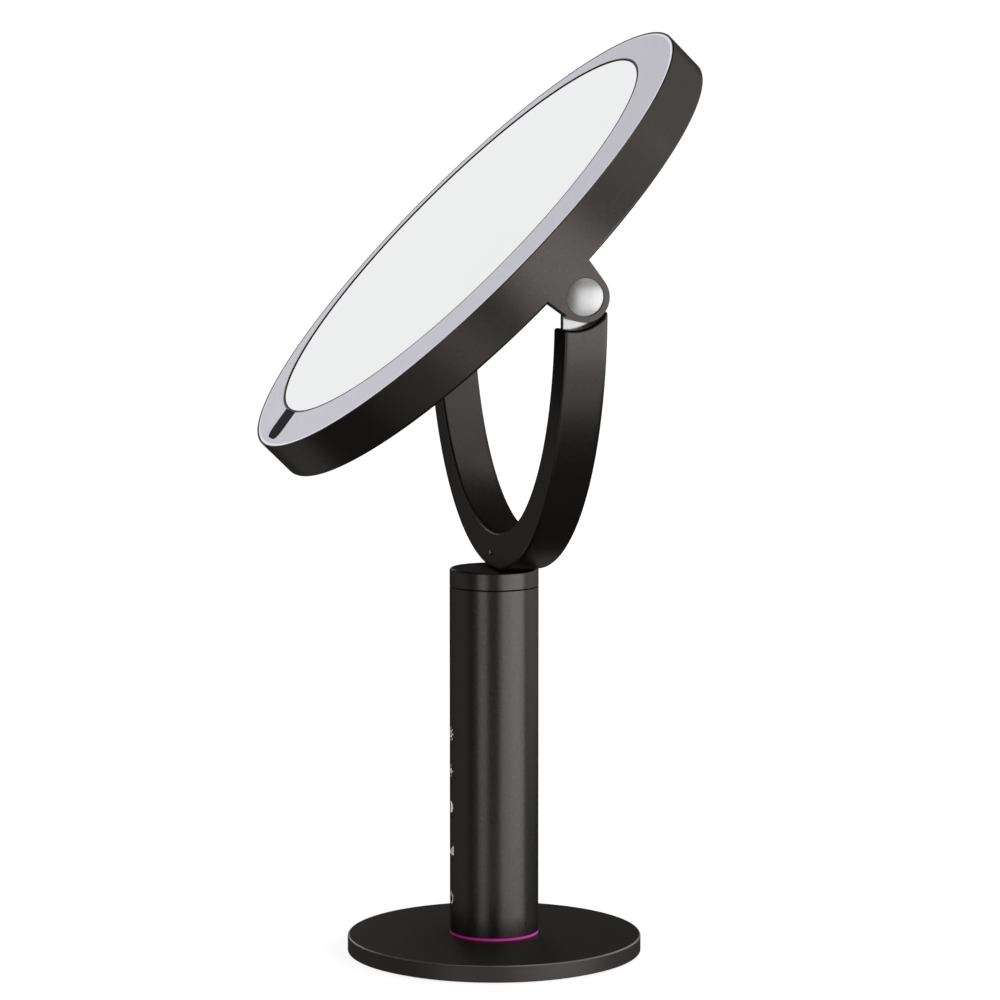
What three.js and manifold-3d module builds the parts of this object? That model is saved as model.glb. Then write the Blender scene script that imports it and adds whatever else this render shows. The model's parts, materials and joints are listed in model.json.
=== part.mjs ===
// Lit tabletop vanity mirror on a touch-control column.
// Millimetres, +Z up, front towards -Y, the head tilts about X.
// The origin is the middle of the base's underside.
import * as THREE from 'three';
import { mergeVertices } from 'three/addons/utils/BufferGeometryUtils.js';
import Module from 'manifold-3d';

const wasm = await Module();
wasm.setup();

// ---------------------------------------------------------------- driving dimensions
const GAP = 0.3;                    // clearance between neighbouring pieces

const BASE_RADIUS = 62.6;
const BASE_TOP = 7.7;
const BASE_WALL = 1.5;
const PAD_HEIGHT = 1.3;

const COLUMN_RADIUS = 18.9;
const COLUMN_WALL = 2.2;
const COLUMN_BORE = COLUMN_RADIUS - COLUMN_WALL;
const COLUMN_TOP = 165.05;
const CAP_SEAM = 157.2;             // height of the joint line between tube and cap
const GLOW_HEIGHT = 0.8;
const GLOW_BOTTOM = BASE_TOP + GAP;
const TUBE_BOTTOM = GLOW_BOTTOM + GLOW_HEIGHT + GAP;
const ICON_HEIGHTS = [94.6, 78.7, 63.2, 44.7, 24.0];
const ICON_RADIUS = 4.7;

const YOKE_WIDTH = 17.7;
const YOKE_Y = 7.6;                 // the yoke stands behind the column's axis
const YOKE_OUTER = 114.5;
const YOKE_INNER = 98.1;
const YOKE_OUTER_Z = 279.4;
const YOKE_INNER_Z = 278.3;
const YOKE_EDGE = 1.8;              // rounding of the yoke's long edges
const YOKE_SEAT = COLUMN_TOP + GAP;
const SADDLE = { y: 2.6, z: 288.6, radius: 16.3 };    // hollow end of each arm, clear of the lugs

const PIVOT_Y = 5.4;
const PIVOT_Z = 285.7;
const REST_TILT = 44.6;             // degrees that the face leans back from upright

const HEAD_RADIUS = 120.25;
const HEAD_DEPTH = 18.5;
const HEAD_BACK = -8.8;             // head frame: y = 0 on the pivots, the face looks to -Y
const HEAD_FRONT = HEAD_BACK - HEAD_DEPTH;
const GLASS_RADIUS = 101.6;
const GLASS_FACE = HEAD_FRONT - 2.15;
const GLASS_THICKNESS = 4;
const COVER_RADIUS = 104;           // back cover
const LUG_RADIUS = 10;
const LUG_ROOT = 11.5;

// ---------------------------------------------------------------- shape tools
// A closed three.js geometry becomes a solid that can be cut and joined.
function solid(geometry) {
  geometry.deleteAttribute('normal');
  geometry.deleteAttribute('uv');
  const merged = mergeVertices(geometry, 1e-4);
  const points = merged.attributes.position.array;
  const source = merged.index.array;
  const triangles = [];
  let volume = 0;
  for (let i = 0; i < source.length; i += 3) {
    const [a, b, c] = [source[i], source[i + 1], source[i + 2]];
    if (a === b || b === c || c === a) continue;
    triangles.push(a, b, c);
    const pa = new THREE.Vector3().fromArray(points, 3 * a);
    const pb = new THREE.Vector3().fromArray(points, 3 * b);
    const pc = new THREE.Vector3().fromArray(points, 3 * c);
    volume += pa.dot(pb.cross(pc));
  }
  if (volume < 0) triangles.reverse();
  return new wasm.Manifold(new wasm.Mesh({
    numProp: 3,
    vertProperties: new Float32Array(points),
    triVerts: new Uint32Array(triangles),
  }));
}

function cut(body, ...tools) {
  return tools.reduce((left, tool) => left.subtract(tool), body);
}

function join(...bodies) {
  return bodies.reduce((sum, body) => sum.add(body));
}

// Corners are [x, y, rounding]; a rounded corner becomes an arc.
function outline(corners, closed, steps = 2) {
  const count = corners.length;
  const place = (i) => new THREE.Vector2(...corners[(i + count) % count].slice(0, 2));
  const points = [];
  corners.forEach(([, , radius = 0], i) => {
    const here = place(i);
    if (!radius || (!closed && (i === 0 || i === count - 1))) {
      points.push(here);
      return;
    }
    const before = place(i - 1).sub(here).normalize();
    const after = place(i + 1).sub(here).normalize();
    const half = Math.acos(before.dot(after)) / 2;
    const reach = radius / Math.tan(half);
    const centre = before.clone().add(after).normalize().multiplyScalar(radius / Math.sin(half)).add(here);
    const from = before.multiplyScalar(reach).add(here).sub(centre).angle();
    const to = after.multiplyScalar(reach).add(here).sub(centre).angle();
    const sweep = Math.atan2(Math.sin(to - from), Math.cos(to - from));
    for (let step = 0; step <= steps; step += 1) {
      const angle = from + sweep * step / steps;
      points.push(new THREE.Vector2(Math.cos(angle), Math.sin(angle)).multiplyScalar(radius).add(centre));
    }
  });
  return points;
}

// Turned bodies: corners are [radius, place along the axis, rounding].
function turned(corners, segments = 40) {
  const onAxis = corners[0][0] === 0;
  const points = outline(corners, !onAxis);
  if (!onAxis) points.push(points[0].clone());
  return new THREE.LatheGeometry(points, segments);
}

const turnedY = (corners, segments) => solid(turned(corners, segments));
const turnedZ = (corners, segments, x = 0, y = 0) =>
  solid(turned(corners, segments).rotateX(Math.PI / 2).translate(x, y, 0));

// side +1 points the turning axis to +X, side -1 to -X
const turnedX = (corners, side, segments = 24) =>
  solid(turned(corners, segments).rotateZ(-side * Math.PI / 2));

function rod(radius, from, to, segments = 24) {
  const a = new THREE.Vector3(...from);
  const b = new THREE.Vector3(...to);
  const along = b.clone().sub(a);
  const middle = a.clone().add(b).multiplyScalar(0.5);
  const geometry = new THREE.CylinderGeometry(radius, radius, along.length(), segments);
  const drawnAlong = new THREE.Vector3(0, 1, 0);
  geometry.applyQuaternion(new THREE.Quaternion().setFromUnitVectors(drawnAlong, along.normalize()));
  return solid(geometry.translate(middle.x, middle.y, middle.z));
}

function block([x0, y0, z0], [x1, y1, z1]) {
  const geometry = new THREE.BoxGeometry(x1 - x0, y1 - y0, z1 - z0);
  return solid(geometry.translate((x0 + x1) / 2, (y0 + y1) / 2, (z0 + z1) / 2));
}

// A shape drawn in the (Y, Z) plane, as thick as from x0 to x1
function plateX(shape, x0, x1, curveSegments = 20) {
  const geometry = new THREE.ExtrudeGeometry(shape, { depth: x1 - x0, bevelEnabled: false, curveSegments });
  const axes = [new THREE.Vector3(0, 1, 0), new THREE.Vector3(0, 0, 1), new THREE.Vector3(1, 0, 0)];
  return solid(geometry.applyMatrix4(new THREE.Matrix4().makeBasis(...axes)).translate(x0, 0, 0));
}

// A shape drawn in the (X, Z) plane, as deep as from y0 to y1, with rounded long edges
function plateY(shape, y0, y1, edge = 0, curveSegments = 20) {
  const geometry = new THREE.ExtrudeGeometry(shape, {
    depth: y1 - y0 - 2 * edge,
    bevelEnabled: edge > 0,
    bevelSize: edge,
    bevelThickness: edge,
    bevelSegments: 2,
    curveSegments,
  });
  return solid(geometry.rotateX(Math.PI / 2).translate(0, y1 - edge, 0));
}

function tube(radius, points, steps) {
  const section = new THREE.Shape().absarc(0, 0, radius, 0, 2 * Math.PI);
  const path = new THREE.CatmullRomCurve3(points.map((point) => new THREE.Vector3(...point)));
  return solid(new THREE.ExtrudeGeometry(section, { extrudePath: path, steps, curveSegments: 4 }));
}

// A slot or port outline with round ends, wide along X
function slotShape(width, height, x, z) {
  const reach = (width - height) / 2;
  const shape = new THREE.Shape();
  shape.absarc(x + reach, z, height / 2, -Math.PI / 2, Math.PI / 2);
  shape.absarc(x - reach, z, height / 2, Math.PI / 2, 3 * Math.PI / 2);
  return shape;
}

function onCircle(count, radius, startDegrees) {
  return Array.from({ length: count }, (_, i) => {
    const angle = THREE.MathUtils.degToRad(startDegrees + 360 * i / count);
    return [radius * Math.cos(angle), radius * Math.sin(angle)];
  });
}

// ---------------------------------------------------------------- materials
function material(color, roughness, metalness) {
  return new THREE.MeshStandardMaterial({ color, roughness, metalness });
}

const bronze = material(0x4a4540, 0.45, 0.7);
const brightSteel = material(0xd8d8dc, 0.18, 1);
const plainSteel = material(0x9a9da1, 0.4, 1);
const blackPlastic = material(0x1d1c1f, 0.5, 0);
const greyPlastic = material(0x6d6f74, 0.6, 0);
const silverGlass = material(0xe9ebee, 0.04, 1);
const opalPlastic = material(0xd2d3de, 0.35, 0);
const glowPlastic = material(0xc040a0, 0.4, 0);
const iconPlastic = material(0x55504b, 0.4, 0.3);
const circuitBoard = material(0x1f5a35, 0.6, 0);
const cellWrap = material(0x2f5f9e, 0.5, 0);
const rubber = material(0x161616, 0.9, 0);
const cableSheath = material(0x202022, 0.7, 0);

// ---------------------------------------------------------------- assembly
const group = new THREE.Group();
const stand = new THREE.Group();
const head = new THREE.Group();
head.position.set(0, PIVOT_Y, PIVOT_Z);
head.rotation.x = -THREE.MathUtils.degToRad(REST_TILT);
group.add(stand, head);

function piece(parent, name, body, look) {
  const { vertProperties, triVerts } = body.getMesh();
  const geometry = new THREE.BufferGeometry();
  geometry.setAttribute('position', new THREE.BufferAttribute(vertProperties, 3));
  geometry.setIndex(new THREE.BufferAttribute(triVerts, 1));
  geometry.computeVertexNormals();
  const mesh = new THREE.Mesh(geometry, look);
  mesh.name = name;
  parent.add(mesh);
}

const SIDES = [['left', -1], ['right', 1]];

// ---------------------------------------------------------------- base
const WEIGHT_BOTTOM = PAD_HEIGHT + GAP;
const WEIGHT_TOP = BASE_TOP - BASE_WALL - GAP;
const BASE_INSIDE = BASE_RADIUS - BASE_WALL;
const BASE_SCREW = { circle: 9, shank: 1.6, head: 3.2, headHeight: 2, top: 16.5 };
const baseScrewPlaces = onCircle(3, BASE_SCREW.circle, 90);

function baseScrewHoles(from, to) {
  return baseScrewPlaces.map(([x, y]) => rod(BASE_SCREW.shank + GAP, [x, y, from], [x, y, to], 16));
}

function basePad() {
  return turnedZ([
    [0, 0],
    [BASE_INSIDE - 0.6, 0, 0.5],
    [BASE_INSIDE - 0.6, PAD_HEIGHT],
    [0, PAD_HEIGHT],
  ], 60);
}

function baseWeight() {
  const disc = turnedZ([
    [0, WEIGHT_BOTTOM],
    [BASE_INSIDE - GAP, WEIGHT_BOTTOM],
    [BASE_INSIDE - GAP, WEIGHT_TOP],
    [0, WEIGHT_TOP],
  ], 48);
  const sinkTop = WEIGHT_BOTTOM + BASE_SCREW.headHeight + GAP;
  const sinks = baseScrewPlaces.map(([x, y]) => rod(BASE_SCREW.head + GAP, [x, y, 0], [x, y, sinkTop]));
  return cut(disc, ...sinks, ...baseScrewHoles(0, BASE_TOP));
}

function baseCover() {
  const skirtBottom = 0.7;
  const shell = turnedZ([
    [0, BASE_TOP],
    [BASE_RADIUS, BASE_TOP, 0.7],
    [BASE_RADIUS, skirtBottom, 0.3],
    [BASE_INSIDE, skirtBottom],
    [BASE_INSIDE, BASE_TOP - BASE_WALL],
    [0, BASE_TOP - BASE_WALL],
  ], 60);
  return cut(shell, ...baseScrewHoles(0, BASE_TOP + 1));
}

function baseScrew([x, y]) {
  const head = rod(BASE_SCREW.head, [x, y, WEIGHT_BOTTOM], [x, y, WEIGHT_BOTTOM + BASE_SCREW.headHeight], 20);
  const shank = rod(BASE_SCREW.shank, [x, y, WEIGHT_BOTTOM + 1], [x, y, BASE_SCREW.top], 16);
  const socket = rod(1.5, [x, y, 0], [x, y, WEIGHT_BOTTOM + 1.2], 6);
  return cut(join(head, shank), socket);
}

piece(stand, 'base_pad', basePad(), rubber);
piece(stand, 'base_weight', baseWeight(), plainSteel);
piece(stand, 'base_cover', baseCover(), bronze);
baseScrewPlaces.forEach((place, i) => piece(stand, `base_screw_${i + 1}`, baseScrew(place), plainSteel));

// ---------------------------------------------------------------- column
const COLUMN_SEGMENTS = 44;
const FOOT_BOTTOM = 11.6;
const FOOT_TOP = 18.8;
const GLOW_INNER = 13;
const GLOW_BOARD_INNER = 11.4;
const LED_HEIGHT = 0.8;
const PORT = { z: 28, width: 9, height: 3.3, wall: 0.4, inner: 9.9, outer: 18.4 };
const TOUCH_BOARD_FRONT = -12.9;
const TOUCH_BOARD_TOP = 101;
const TOUCH_PAD_FRONT = -15;
const MAIN_BOARD_FRONT = 8.2;
const MAIN_BOARD_TOP = 60;
const BOARD_THICKNESS = 1.4;
const CELL = { y: 2, radius: 9.15, bottom: 64, top: 129, nipple: 3 };
const CRADLE_WALL = 1.5;
const CAP_DECK = 4.2;               // thickness of the cap's top
const CAP_DECK_BOTTOM = COLUMN_TOP - CAP_DECK;
const STUD = { radius: 4.5, bore: 2.2, collar: 6.3, collarHeight: 2.5, bottom: 151, top: 174.6 };

function glowRing() {
  return turnedZ([
    [GLOW_INNER, GLOW_BOTTOM],
    [COLUMN_RADIUS - 0.1, GLOW_BOTTOM],
    [COLUMN_RADIUS - 0.1, GLOW_BOTTOM + GLOW_HEIGHT],
    [GLOW_INNER, GLOW_BOTTOM + GLOW_HEIGHT],
  ], COLUMN_SEGMENTS);
}

function glowLedBoard() {
  const ledBottom = GLOW_BOTTOM + GLOW_HEIGHT + GAP;
  const boardBottom = ledBottom + LED_HEIGHT;
  const board = turnedZ([
    [GLOW_BOARD_INNER, boardBottom],
    [COLUMN_BORE - GAP, boardBottom],
    [COLUMN_BORE - GAP, boardBottom + 1],
    [GLOW_BOARD_INNER, boardBottom + 1],
  ], 32);
  const leds = onCircle(8, 14.4, 0).map(([x, y]) =>
    block([x - 1.2, y - 1.2, ledBottom], [x + 1.2, y + 1.2, boardBottom + 0.2]));
  return join(board, ...leds);
}

function columnFoot() {
  const plug = turnedZ([
    [5, FOOT_BOTTOM],
    [COLUMN_BORE - GAP, FOOT_BOTTOM],
    [COLUMN_BORE - GAP, FOOT_TOP],
    [5, FOOT_TOP],
  ], 32);
  return cut(plug, ...baseScrewHoles(0, BASE_SCREW.top + GAP));
}

function columnTube() {
  const tubeBody = turnedZ([
    [COLUMN_BORE, TUBE_BOTTOM],
    [COLUMN_RADIUS, TUBE_BOTTOM, 0.2],
    [COLUMN_RADIUS, CAP_SEAM, 0.2],
    [COLUMN_BORE, CAP_SEAM],
  ], COLUMN_SEGMENTS);
  const iconHoles = ICON_HEIGHTS.map((z) => rod(ICON_RADIUS + GAP, [0, -10, z], [0, -25, z], 20));
  const portHole = plateY(slotShape(PORT.width + 2 * GAP, PORT.height + 2 * GAP, 0, PORT.z), 10, 25, 0, 6);
  return cut(tubeBody, ...iconHoles, portHole);
}

function touchIcon(z) {
  const skin = turnedZ([
    [0, z - 8],
    [COLUMN_RADIUS, z - 8],
    [COLUMN_RADIUS, z + 8],
    [0, z + 8],
  ], COLUMN_SEGMENTS);
  return rod(ICON_RADIUS, [0, TOUCH_PAD_FRONT - GAP, z], [0, -25, z], 20).intersect(skin);
}

function touchBoard() {
  const back = TOUCH_BOARD_FRONT + BOARD_THICKNESS;
  const board = block([-9.4, TOUCH_BOARD_FRONT, FOOT_TOP + GAP], [9.4, back, TOUCH_BOARD_TOP]);
  const pads = ICON_HEIGHTS.map((z) => rod(3.2, [0, back - 0.4, z], [0, TOUCH_PAD_FRONT, z], 16));
  return join(board, ...pads);
}

function mainBoard() {
  const front = MAIN_BOARD_FRONT;
  const board = block([-10, front, FOOT_TOP + 1], [10, front + BOARD_THICKNESS, MAIN_BOARD_TOP]);
  const chips = [[-4, 4, 34, 42], [2, 8, 47, 54], [-8, -3, 47, 56]].map(([x0, x1, z0, z1]) =>
    block([x0, front - 1.2, z0], [x1, front + 0.4, z1]));
  return join(board, ...chips);
}

function chargingPort() {
  const { z, width, height, wall, inner, outer } = PORT;
  const shellBody = plateY(slotShape(width, height, 0, z), inner, outer, 0, 6);
  const socket = plateY(slotShape(width - 2 * wall, height - 2 * wall, 0, z), inner + 1.5, outer + 2, 0, 6);
  const tongue = block([-3.2, inner + 1.1, z - 0.35], [3.2, outer - 1.9, z + 0.35]);
  return join(cut(shellBody, socket), tongue);
}

function batteryCell() {
  return turnedZ([
    [0, CELL.bottom],
    [CELL.radius, CELL.bottom, 0.6],
    [CELL.radius, CELL.top, 0.6],
    [CELL.nipple, CELL.top, 0.2],
    [CELL.nipple, CELL.top + 1, 0.3],
    [0, CELL.top + 1],
  ], 24, 0, CELL.y);
}

function batteryCradle() {
  const inner = CELL.radius + GAP;
  const floorTop = CELL.bottom - GAP;
  const cup = turnedZ([
    [0, floorTop - CRADLE_WALL],
    [inner + CRADLE_WALL, floorTop - CRADLE_WALL],
    [inner + CRADLE_WALL, CELL.top + 3],
    [inner, CELL.top + 3],
    [inner, floorTop],
    [0, floorTop],
  ], 24, 0, CELL.y);
  return cut(cup, block([-20, -20, floorTop], [20, CELL.y - 5, CELL.top + 5]));
}

function columnCap() {
  const spigotOuter = COLUMN_BORE - GAP;
  const cap = turnedZ([
    [0, COLUMN_TOP],
    [COLUMN_RADIUS, COLUMN_TOP, 1.1],
    [COLUMN_RADIUS, CAP_SEAM + GAP, 0.2],
    [spigotOuter, CAP_SEAM + GAP],
    [spigotOuter, CAP_SEAM - 8],
    [spigotOuter - 2, CAP_SEAM - 8],
    [spigotOuter - 2, CAP_DECK_BOTTOM],
    [0, CAP_DECK_BOTTOM],
  ], COLUMN_SEGMENTS);
  return cut(cap, rod(STUD.radius + GAP, [0, YOKE_Y, CAP_DECK_BOTTOM - 1], [0, YOKE_Y, COLUMN_TOP + 1]));
}

function yokeStud() {
  const collarTop = CAP_DECK_BOTTOM - GAP;
  const collarBottom = collarTop - STUD.collarHeight;
  return turnedZ([
    [STUD.bore, STUD.bottom],
    [STUD.radius, STUD.bottom],
    [STUD.radius, collarBottom],
    [STUD.collar, collarBottom],
    [STUD.collar, collarTop],
    [STUD.radius, collarTop],
    [STUD.radius, STUD.top],
    [STUD.bore, STUD.top],
  ], 24, 0, YOKE_Y);
}

piece(stand, 'glow_ring', glowRing(), glowPlastic);
piece(stand, 'glow_led_board', glowLedBoard(), circuitBoard);
piece(stand, 'column_foot', columnFoot(), greyPlastic);
piece(stand, 'column_tube', columnTube(), bronze);
ICON_HEIGHTS.forEach((z, i) => piece(stand, `touch_icon_${i + 1}`, touchIcon(z), iconPlastic));
piece(stand, 'touch_board', touchBoard(), circuitBoard);
piece(stand, 'main_board', mainBoard(), circuitBoard);
piece(stand, 'charging_port', chargingPort(), plainSteel);
piece(stand, 'battery_cell', batteryCell(), cellWrap);
piece(stand, 'battery_cradle', batteryCradle(), greyPlastic);
piece(stand, 'column_cap', columnCap(), bronze);
piece(stand, 'yoke_stud', yokeStud(), plainSteel);

// ---------------------------------------------------------------- yoke
const YOKE_FRONT = YOKE_Y - YOKE_WIDTH / 2;
const YOKE_BACK = YOKE_Y + YOKE_WIDTH / 2;
const GRUB_Z = 171.4;
const CHANNEL = { y: YOKE_Y + 1, width: 5, depth: 5.4, top: 262, floorX: -2, lid: 1.2 };
const CABLE = { radius: 1.3, depth: 3.4, from: -89, to: -12 };
const TONGUE = { inner: 104.6, outer: 108.2, halfWidth: 5.75, bottom: 262 };
const TONGUE_SCREW = { y: 2.5, z: 268, head: 2.4, shank: 1.3, headInner: 98.2, headOuter: 100.2, tip: 111 };

// The half ring, drawn smaller by its edge rounding, with straight ends above the ring's centre
function yokeShape() {
  const armTop = PIVOT_Z;
  const outer = YOKE_OUTER - YOKE_EDGE;
  const inner = YOKE_INNER + YOKE_EDGE;
  const shape = new THREE.Shape();
  shape.moveTo(-outer, armTop);
  shape.absarc(0, YOKE_OUTER_Z, outer, Math.PI, 2 * Math.PI);
  shape.lineTo(outer, armTop);
  shape.lineTo(inner, armTop);
  shape.absarc(0, YOKE_INNER_Z, inner, 2 * Math.PI, Math.PI, true);
  shape.lineTo(-inner, armTop);
  return shape;
}

// Part of a ring round the yoke's inner circle, on the right-hand side, for the cable's channel and liner
function channelArc(innerRadius, outerRadius, halfWidth, trim) {
  const { y, top, floorX } = CHANNEL;
  const disc = (radius, reach) => rod(radius, [0, y - reach, YOKE_INNER_Z], [0, y + reach, YOKE_INNER_Z], 64);
  const ring = disc(outerRadius, halfWidth).subtract(disc(innerRadius, halfWidth + 1));
  return ring.intersect(block([floorX + trim, 0, 0], [150, 30, top - trim]));
}

function screwRod(radius, side, from, to, segments) {
  const { y, z } = TONGUE_SCREW;
  return rod(radius, [side * from, y, z], [side * to, y, z], segments);
}

function tongueSlot(side) {
  const x0 = side * (TONGUE.inner - GAP);
  const x1 = side * (TONGUE.outer + GAP);
  return block(
    [Math.min(x0, x1), PIVOT_Y - TONGUE.halfWidth - GAP, TONGUE.bottom - GAP],
    [Math.max(x0, x1), PIVOT_Y + TONGUE.halfWidth + GAP, PIVOT_Z + 10],
  );
}

function yoke() {
  const ring = plateY(yokeShape(), YOKE_FRONT, YOKE_BACK, YOKE_EDGE, 32);
  const tools = [
    rod(SADDLE.radius, [-150, SADDLE.y, SADDLE.z], [150, SADDLE.y, SADDLE.z], 64),
    block([-130, -10, PIVOT_Z - 2], [130, 30, PIVOT_Z + 20]),
    block([-40, -10, 150], [40, 30, YOKE_SEAT]),
    rod(STUD.radius + GAP, [0, YOKE_Y, 150], [0, YOKE_Y, STUD.top + GAP]),
    rod(STUD.bore, [0, YOKE_Y, 150], [0, YOKE_Y, YOKE_INNER_Z - YOKE_INNER + 2]),
    rod(1 + GAP, [0, YOKE_FRONT - 1, GRUB_Z], [0, YOKE_Y, GRUB_Z], 16),
    channelArc(YOKE_INNER - 2, YOKE_INNER + CHANNEL.depth, CHANNEL.width / 2, 0),
  ];
  SIDES.forEach(([, side]) => tools.push(
    tongueSlot(side),
    screwRod(TONGUE_SCREW.shank + GAP, side, 90, TONGUE_SCREW.tip + GAP, 16),
    screwRod(TONGUE_SCREW.head + GAP, side, 90, TONGUE_SCREW.headOuter + GAP, 20),
  ));
  return cut(ring, ...tools);
}

function yokeLiner() {
  return channelArc(YOKE_INNER, YOKE_INNER + CHANNEL.lid, CHANNEL.width / 2 - GAP, GAP);
}

function yokeCable() {
  const radius = YOKE_INNER + CABLE.depth;
  const spans = 8;
  const points = Array.from({ length: spans + 1 }, (_, i) => {
    const angle = THREE.MathUtils.degToRad(THREE.MathUtils.lerp(CABLE.from, CABLE.to, i / spans));
    return [radius * Math.cos(angle), CHANNEL.y, YOKE_INNER_Z + radius * Math.sin(angle)];
  });
  return tube(CABLE.radius, points, 24);
}

function grubScrew() {
  const front = YOKE_FRONT + 0.2;
  const back = YOKE_Y - STUD.radius - GAP;
  const body = rod(1, [0, front, GRUB_Z], [0, back, GRUB_Z], 20);
  return cut(body, rod(0.5, [0, front - 1, GRUB_Z], [0, front + 1.2, GRUB_Z], 6));
}

piece(stand, 'yoke', yoke(), bronze);
piece(stand, 'yoke_liner', yokeLiner(), blackPlastic);
piece(stand, 'yoke_cable', yokeCable(), cableSheath);
piece(stand, 'yoke_grub_screw', grubScrew(), plainSteel);

// ---------------------------------------------------------------- hinges
const SHAFT = { radius: 3, bore: 1.3, head: 5, inner: 101.5, end: 118 };
const WASHER_OUTER = 109.3;
const LUG_INNER = WASHER_OUTER + GAP;
const LUG_WEB_OUTER = 113.7;
const NUT_INNER = 115.1;
const NUT_OUTER = 118;
const CAP_SINK = 118.3;
const CAP_RADIUS = 7.6;
const CAP_CROWN = 120.75;
const NUT_RADIUS = 5.7;
const SPRING_RADIUS = 5.6;

function hingeTongue(side) {
  const { halfWidth, bottom, inner, outer } = TONGUE;
  const shape = new THREE.Shape();
  shape.moveTo(PIVOT_Y - halfWidth, bottom);
  shape.lineTo(PIVOT_Y + halfWidth, bottom);
  shape.absarc(PIVOT_Y, PIVOT_Z, halfWidth, 0, Math.PI);
  const [x0, x1] = side > 0 ? [inner, outer] : [-outer, -inner];
  const shaftHole = rod(SHAFT.radius + GAP, [x0 - 1, PIVOT_Y, PIVOT_Z], [x1 + 1, PIVOT_Y, PIVOT_Z]);
  return cut(plateX(shape, x0, x1), shaftHole, screwRod(TONGUE_SCREW.shank + GAP, side, 90, 115, 16));
}

function tongueScrew(side) {
  const { head, shank, headInner, headOuter, tip } = TONGUE_SCREW;
  const headBody = screwRod(head, side, headInner, headOuter, 20);
  const shankBody = screwRod(shank, side, headOuter - 0.5, tip, 16);
  const socket = screwRod(1.1, side, headInner - 1, headInner + 1.1, 6);
  return cut(join(headBody, shankBody), socket);
}

// Turned hinge pieces are drawn round the pivot axis, with their places along X.
function hingeTurned(corners, side, segments) {
  return turnedX(corners, side, segments).translate([0, PIVOT_Y, PIVOT_Z]);
}

function pivotShaft(side) {
  return hingeTurned([
    [SHAFT.bore, SHAFT.inner],
    [SHAFT.head, SHAFT.inner, 0.6],
    [SHAFT.head, TONGUE.inner - GAP],
    [SHAFT.radius, TONGUE.inner - GAP],
    [SHAFT.radius, SHAFT.end],
    [SHAFT.bore, SHAFT.end],
  ], side);
}

function washer(side, from, to, outer) {
  const bore = SHAFT.radius + GAP;
  return hingeTurned([[bore, from], [outer, from], [outer, to], [bore, to]], side);
}

const frictionWasher = (side) => washer(side, TONGUE.outer + GAP, WASHER_OUTER, CAP_RADIUS);
const springWasher = (side) => washer(side, LUG_WEB_OUTER + GAP, NUT_INNER - GAP, SPRING_RADIUS);

function pivotNut(side) {
  const onPivot = (x) => [side * x, PIVOT_Y, PIVOT_Z];
  const hexagon = rod(NUT_RADIUS, onPivot(NUT_INNER), onPivot(NUT_OUTER), 6);
  return cut(hexagon, rod(SHAFT.radius + GAP, onPivot(NUT_INNER - 1), onPivot(NUT_OUTER + 1)));
}

SIDES.forEach(([label, side]) => {
  piece(stand, `hinge_tongue_${label}`, hingeTongue(side), brightSteel);
  piece(stand, `tongue_screw_${label}`, tongueScrew(side), plainSteel);
  piece(stand, `pivot_shaft_${label}`, pivotShaft(side), plainSteel);
  piece(stand, `friction_washer_${label}`, frictionWasher(side), blackPlastic);
  piece(stand, `spring_washer_${label}`, springWasher(side), plainSteel);
  piece(stand, `pivot_nut_${label}`, pivotNut(side), plainSteel);
});

// ---------------------------------------------------------------- head
const HEAD_SEGMENTS = 60;
const RIM_WALL = 2.8;
const RIM_INSIDE = HEAD_RADIUS - RIM_WALL;
const LIP_RADIUS = HEAD_RADIUS - 0.8;
const LIP_SEAT = HEAD_FRONT + 1.3;
const LEDGE_FACE = HEAD_BACK - 2.6;
const LEDGE_INNER = 95;
const LEDGE_THICKNESS = 1.8;
const NUT_POCKET = 6.2;
const BACK_SCREW = { circle: 99.6, head: 2.5, shank: 1.3, headHeight: 1.5, tip: -14.6 };
const backScrewPlaces = onCircle(6, BACK_SCREW.circle, 30);
const TRAY_FACE = GLASS_FACE + GLASS_THICKNESS + GAP;
const TRAY_RADIUS = 104.4;
const TRAY_WALL = 1.8;
const TRAY_FLOOR = -19.8;
const RETAINER_INNER = GLASS_RADIUS + GAP;
const RETAINER_OUTER = 103.2;
const DIFFUSER_INNER = RETAINER_OUTER + GAP;
const DIFFUSER_OUTER = LIP_RADIUS - GAP;
const DIFFUSER_LOW = HEAD_FRONT + 0.2;
const DIFFUSER_HIGH = GLASS_FACE + 0.4;
const DIFFUSER_WALL = 1.6;
const WINDOW_RADIUS = 9;
const WINDOW_CENTRE = 107.2;
const LED_BOARD = { inner: 105.4, outer: 115.6, leds: 24, circle: 110.5 };
const SENSOR_BOARD = { halfWidth: 8, front: -25.4, bottom: -114.5, top: -106, sensorZ: -110 };
const HEAD_BOARD = { halfWidth: 24, front: -17.2, bottom: -84, top: -56 };
const LEAD_Y = -16.4;

// The lug's outline: a round end on the pivot and straight flanks out to the root on the rim's back
function lugShape() {
  const rootAngle = Math.atan2(LUG_ROOT, HEAD_BACK);
  const spread = Math.acos(LUG_RADIUS / Math.hypot(LUG_ROOT, HEAD_BACK));
  const touch = rootAngle - spread;
  const buried = HEAD_BACK - 2;
  const shape = new THREE.Shape();
  shape.moveTo(buried, -LUG_ROOT);
  shape.lineTo(HEAD_BACK, -LUG_ROOT);
  shape.absarc(0, 0, LUG_RADIUS, -touch, touch);
  shape.lineTo(HEAD_BACK, LUG_ROOT);
  shape.lineTo(buried, LUG_ROOT);
  return shape;
}

function lug(side) {
  const [x0, x1] = side > 0 ? [LUG_INNER, HEAD_RADIUS + 1] : [-HEAD_RADIUS - 1, -LUG_INNER];
  const barrel = turnedY([
    [0, HEAD_FRONT],
    [HEAD_RADIUS, HEAD_FRONT],
    [HEAD_RADIUS, 20],
    [0, 20],
  ], HEAD_SEGMENTS);
  return plateX(lugShape(), x0, x1, 24).intersect(barrel);
}

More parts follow.
